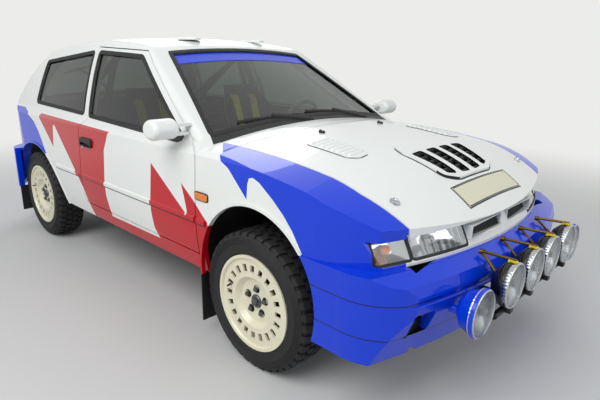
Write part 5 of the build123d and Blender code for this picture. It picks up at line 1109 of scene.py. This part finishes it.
def harness(middle):
    """A harness as its straps and its shoulder pads: each shoulder strap comes over the seat's back and down the
    back pad to the buckle, along a polyline that is averaged six times, and carries a pad."""
    straps, pads = Shape(), Shape()
    for side in (-1, 1):
        route = np.array([
            (-0.478, middle + side * 0.085, 1.070), (-0.400, middle + side * 0.085, 1.085),
            (-0.352, middle + side * 0.085, 1.040), (-0.308, middle + side * 0.080, 0.900),
            (-0.256, middle + side * 0.070, 0.740), (-0.205, middle + side * 0.045, 0.615),
            (-0.150, middle + side * 0.020, 0.580),
        ])
        at = np.linspace(0, len(route) - 1, 60)
        path = np.stack([np.interp(at, np.arange(len(route)), route[:, k]) for k in range(3)], 1)
        for _ in range(6):
            path[1:-1] = (path[:-2] + 2 * path[1:-1] + path[2:]) / 4
        straps.grid(swept(path, flat(0.025, 0.001)), wrap_columns=True, caps=True)
        pads.grid(swept(path[14:34], flat(0.031, 0.004)), wrap_columns=True, caps=True)
        lap = np.stack([np.linspace(-0.215, -0.150, 20), middle + side * np.linspace(0.155, 0.020, 20),
                        0.585 - 0.012 * np.linspace(0, 1, 20)], 1)
        straps.grid(swept(lap, flat(0.022, 0.001)), wrap_columns=True, caps=True)
    return straps, pads


class RALLY_OT_cabin(bpy.types.Operator):
    """Makes the bucket seats with their pads and harnesses, the dial pods and the steering wheel's boss"""
    bl_idname = "rally.cabin"
    bl_label = "Cabin"

    def execute(self, context):
        m = MATERIALS
        for middle, hand in ((-0.390, "right"), (0.390, "left")):
            shell = piece(f"seat_shell_{hand}", Shape().grid(seat_shell(middle)), [m["shell"]], "body",
                          solid=0.006, outward=False)
            cushion = stuffed(f"seat_cushion_{hand}", (0.350, 0.318, 0.052), (0.010, middle, 0.527), -6.5)
            back = stuffed(f"seat_back_pad_{hand}", (0.500, 0.300, 0.046), (-0.332, middle, 0.830), -72)
            for made in (shell, cushion, back):
                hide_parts("seats")
            straps, pads = harness(middle)
            piece(f"harness_{hand}", straps, [m["belt"]], "body", smooth=60)
            piece(f"harness_pads_{hand}", pads, [m["belt_pad"]], "body", smooth=60)
            buckle = Shape().grid(turned([(0.0, 0.032), (0.014, 0.032), (0.018, 0.026), (0.018, 0.0)],
                                         (-0.150, middle, 0.570), (0.2, 0, 1), 32), wrap_columns=True)
            piece(f"harness_buckle_{hand}", buckle, [m["steel"]], "body")
        dials = Shape()
        radius = 0.036
        pod = [(0.0, radius), (-0.022, radius), (-0.024, radius - 0.003), (-0.018, radius - 0.005),
               (-0.012, 0.0)]
        for y in (0.310, 0.410):
            dials.grid(turned(pod, (0.468, y, 0.962), (1, 0, 0), 40), wrap_columns=True)
        piece("dial_pods", dials, [m["gloss_plastic"]], "body")
        # The boss closes the way from the wheel's hub to the column's end
        cone = [(-0.0290, 0.0), (-0.0290, 0.034), (-0.0330, 0.036), (-0.0460, 0.024), (-0.0515, 0.022),
                (-0.0515, 0.0)]
        boss = Shape().grid(turned(cone, STEERING_WHEEL, STEERING_AXIS, 40), wrap_columns=True)
        piece("steering_wheel_boss", boss, [m["aluminium"]], "steering_wheel")
        return {"FINISHED"}


class RALLY_OT_rear_fittings(bpy.types.Operator):
    """Makes the blank rear plate and the rear wiper"""
    bl_idname = "rally.rear_fittings"
    bl_label = "Rear fittings"

    def execute(self, context):
        m = MATERIALS
        plate = Shape()
        plate.grid(pad((0.006, 0.520, 0.112), (-1.9755, 0, 0.746), 14, 9, 40), wrap_columns=True)
        plate.grid(pad((0.007, 0.508, 0.100), (-1.9765, 0, 0.746), 14, 9, 40), wrap_columns=True, slot=1)
        piece("blank_rear_plate", plate, [m["gloss_plastic"], m["plate"]], "tailgate")
        arm = [(-1.800, 0.030), (-1.790, 0.000), (-1.640, -0.260), (-1.600, -0.330)]
        blade = [(-1.560, -0.100), (-1.640, -0.420)]
        wiper = Shape()
        for line, width, height in ((arm, 0.012, 0.012), (blade, 0.010, 0.007)):
            line = np.array(line)
            t = np.linspace(0, len(line) - 1, 24)
            path = np.stack([np.interp(t, np.arange(len(line)), line[:, k]) for k in (0, 1)], 1)
            wiper.grid(ribbon(path, width, height, tail_skin, closed=False), wrap_columns=True, caps=True)
        piece("rear_wiper", wiper, [m["plastic"]], "tailgate")
        return {"FINISHED"}


def backdrop_rays(tree):
    """1 for the rays that meet the plain backdrop: the camera's own, and those that metal and glass send on."""
    light = add(tree, "ShaderNodeLightPath")
    seen = light["Is Camera Ray"]
    for ray in ("Is Glossy Ray", "Is Transmission Ray"):
        seen = add(tree, "ShaderNodeMath", {0: seen, 1: light[ray]}, operation="MAXIMUM")[0]
    return seen


def place_camera(scene):
    """Sets the camera where the photograph was taken from: it looks back along its turn and lift, rolled a
    little about its own axis."""
    turn, lift, roll = (math.radians(angle) for angle in CAMERA_ANGLES)
    back_way = np.array([math.sin(turn) * math.cos(lift), -math.cos(turn) * math.cos(lift), math.sin(lift)])
    right = np.array([math.cos(turn), math.sin(turn), 0.0])
    up = np.cross(back_way, right)
    pose = np.eye(4)
    pose[:3, 0] = math.cos(roll) * right + math.sin(roll) * up
    pose[:3, 1] = -math.sin(roll) * right + math.cos(roll) * up
    pose[:3, 2] = back_way
    pose[:3, 3] = CAMERA_AT
    camera = bpy.data.objects.new("camera", bpy.data.cameras.new("camera"))
    scene.collection.objects.link(camera)
    camera.matrix_world = Matrix(pose.tolist())
    camera.data.lens, camera.data.sensor_width = CAMERA_LENS, 36
    scene.camera = camera


class RALLY_OT_stage(bpy.types.Operator):
    """Lays the pale floor and sets the lights, the world and the camera"""
    bl_idname = "rally.stage"
    bl_label = "Stage"

    def execute(self, context):
        settings = context.scene.rally_stage
        half = settings.floor_size / 2
        mesh = bpy.data.meshes.new("floor")
        corners = [(-half, -half, 0), (half, -half, 0), (half, half, 0), (-half, half, 0)]
        mesh.from_pydata(corners, [], [(0, 1, 2, 3)])
        floor = bpy.data.objects.new("floor", mesh)
        context.scene.collection.objects.link(floor)
        matt, tree, shader, place = start("pale_matt_floor", linear("D2D2D0"), Roughness=0.6)
        # Far from the car the floor turns into the backdrop's own colour, so no horizon shows
        away = add(tree, "ShaderNodeVectorMath", {0: place}, operation="LENGTH")["Value"]
        far = add(tree, "ShaderNodeMapRange", {"Value": away, "From Min": 2.6, "From Max": 6.5},
                  interpolation_type="SMOOTHSTEP")["Result"]
        share = add(tree, "ShaderNodeMath", {0: far, 1: backdrop_rays(tree)}, operation="MULTIPLY")[0]
        glow = add(tree, "ShaderNodeEmission", {"Color": (*BACKDROP, 1), "Strength": 1.0})["Emission"]
        both = add(tree, "ShaderNodeMixShader", {0: share, 1: shader.outputs[0], 2: glow})["Shader"]
        output = next(n for n in tree.nodes if n.type == "OUTPUT_MATERIAL")
        tree.links.new(both, output.inputs["Surface"])
        mesh.materials.append(matt)
        world = bpy.data.worlds.new("studio")
        context.scene.world = world
        world.use_nodes = True
        tree = world.node_tree
        back = next(n for n in tree.nodes if n.type == "BACKGROUND")
        back.inputs["Color"].default_value = (*linear("E8EEF6"), 1)
        back.inputs["Strength"].default_value = 0.42
        shown = add(tree, "ShaderNodeBackground", {"Color": (*BACKDROP, 1), "Strength": 1.0})["Background"]
        seen = backdrop_rays(tree)
        mixed = add(tree, "ShaderNodeMixShader", {0: seen, 1: back.outputs[0], 2: shown})["Shader"]
        output = next(n for n in tree.nodes if n.type == "OUTPUT_WORLD")
        tree.links.new(mixed, output.inputs["Surface"])
        for name, power, size, at, target in (
            ("key", settings.key_power, 4.5, (1.5, -4.2, 4.6), (0.2, 0, 0.6)),
            ("fill", settings.fill_power, 4.0, (-4.5, 3.2, 3.6), (0, 0, 0.6)),
            ("nose", settings.fill_power * 0.45, 3.0, (5.5, 1.0, 2.6), (0.8, 0, 0.5)),
        ):
            lamp = bpy.data.lights.new(name, "AREA")
            lamp.energy, lamp.size, lamp.shape = power, size, "DISK"
            made = bpy.data.objects.new(name, lamp)
            context.scene.collection.objects.link(made)
            made.location = at
            made.rotation_euler = (Vector(target) - Vector(at)).to_track_quat("-Z", "Y").to_euler()
        place_camera(context.scene)
        context.scene.view_settings.view_transform = "Standard"
        return {"FINISHED"}


OPERATORS = (RALLY_OT_finishes, RALLY_OT_tyres, RALLY_OT_wheel_fittings, RALLY_OT_lamps, RALLY_OT_headlamps,
             RALLY_OT_nose, RALLY_OT_bonnet_fittings, RALLY_OT_screen_trim, RALLY_OT_side_fittings, RALLY_OT_cabin,
             RALLY_OT_rear_fittings, RALLY_OT_stage)


class RALLY_PT_panel(bpy.types.Panel):
    """Lists the car's settings and pieces"""
    bl_idname = "RALLY_PT_panel"
    bl_label = "Rally Car"
    bl_space_type = "VIEW_3D"
    bl_region_type = "UI"
    bl_category = "Rally Car"

    def draw(self, context):
        for owner in ("rally_livery", "rally_tyres", "rally_lamps", "rally_stage"):
            box = self.layout.box()
            group = getattr(context.scene, owner)
            for key in type(group).__annotations__:
                box.prop(group, key)
        for operator in OPERATORS:
            self.layout.operator(operator.bl_idname)


def register():
    for kind in (*GROUPS, *OPERATORS, RALLY_PT_panel):
        bpy.utils.register_class(kind)
    bpy.types.Scene.rally_livery = PointerProperty(type=CarLivery)
    bpy.types.Scene.rally_tyres = PointerProperty(type=CarTyres)
    bpy.types.Scene.rally_lamps = PointerProperty(type=CarLamps)
    bpy.types.Scene.rally_stage = PointerProperty(type=CarStage)


def unregister():
    for owner in ("rally_livery", "rally_tyres", "rally_lamps", "rally_stage"):
        delattr(bpy.types.Scene, owner)
    for kind in (RALLY_PT_panel, *reversed(OPERATORS), *reversed(GROUPS)):
        bpy.utils.unregister_class(kind)


def main():
    """Registers the add-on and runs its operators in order."""
    register()
    for operator in OPERATORS:
        group, call = operator.bl_idname.split(".")
        getattr(getattr(bpy.ops, group), call)()
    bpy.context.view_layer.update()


if __name__ == "__main__":
    main()
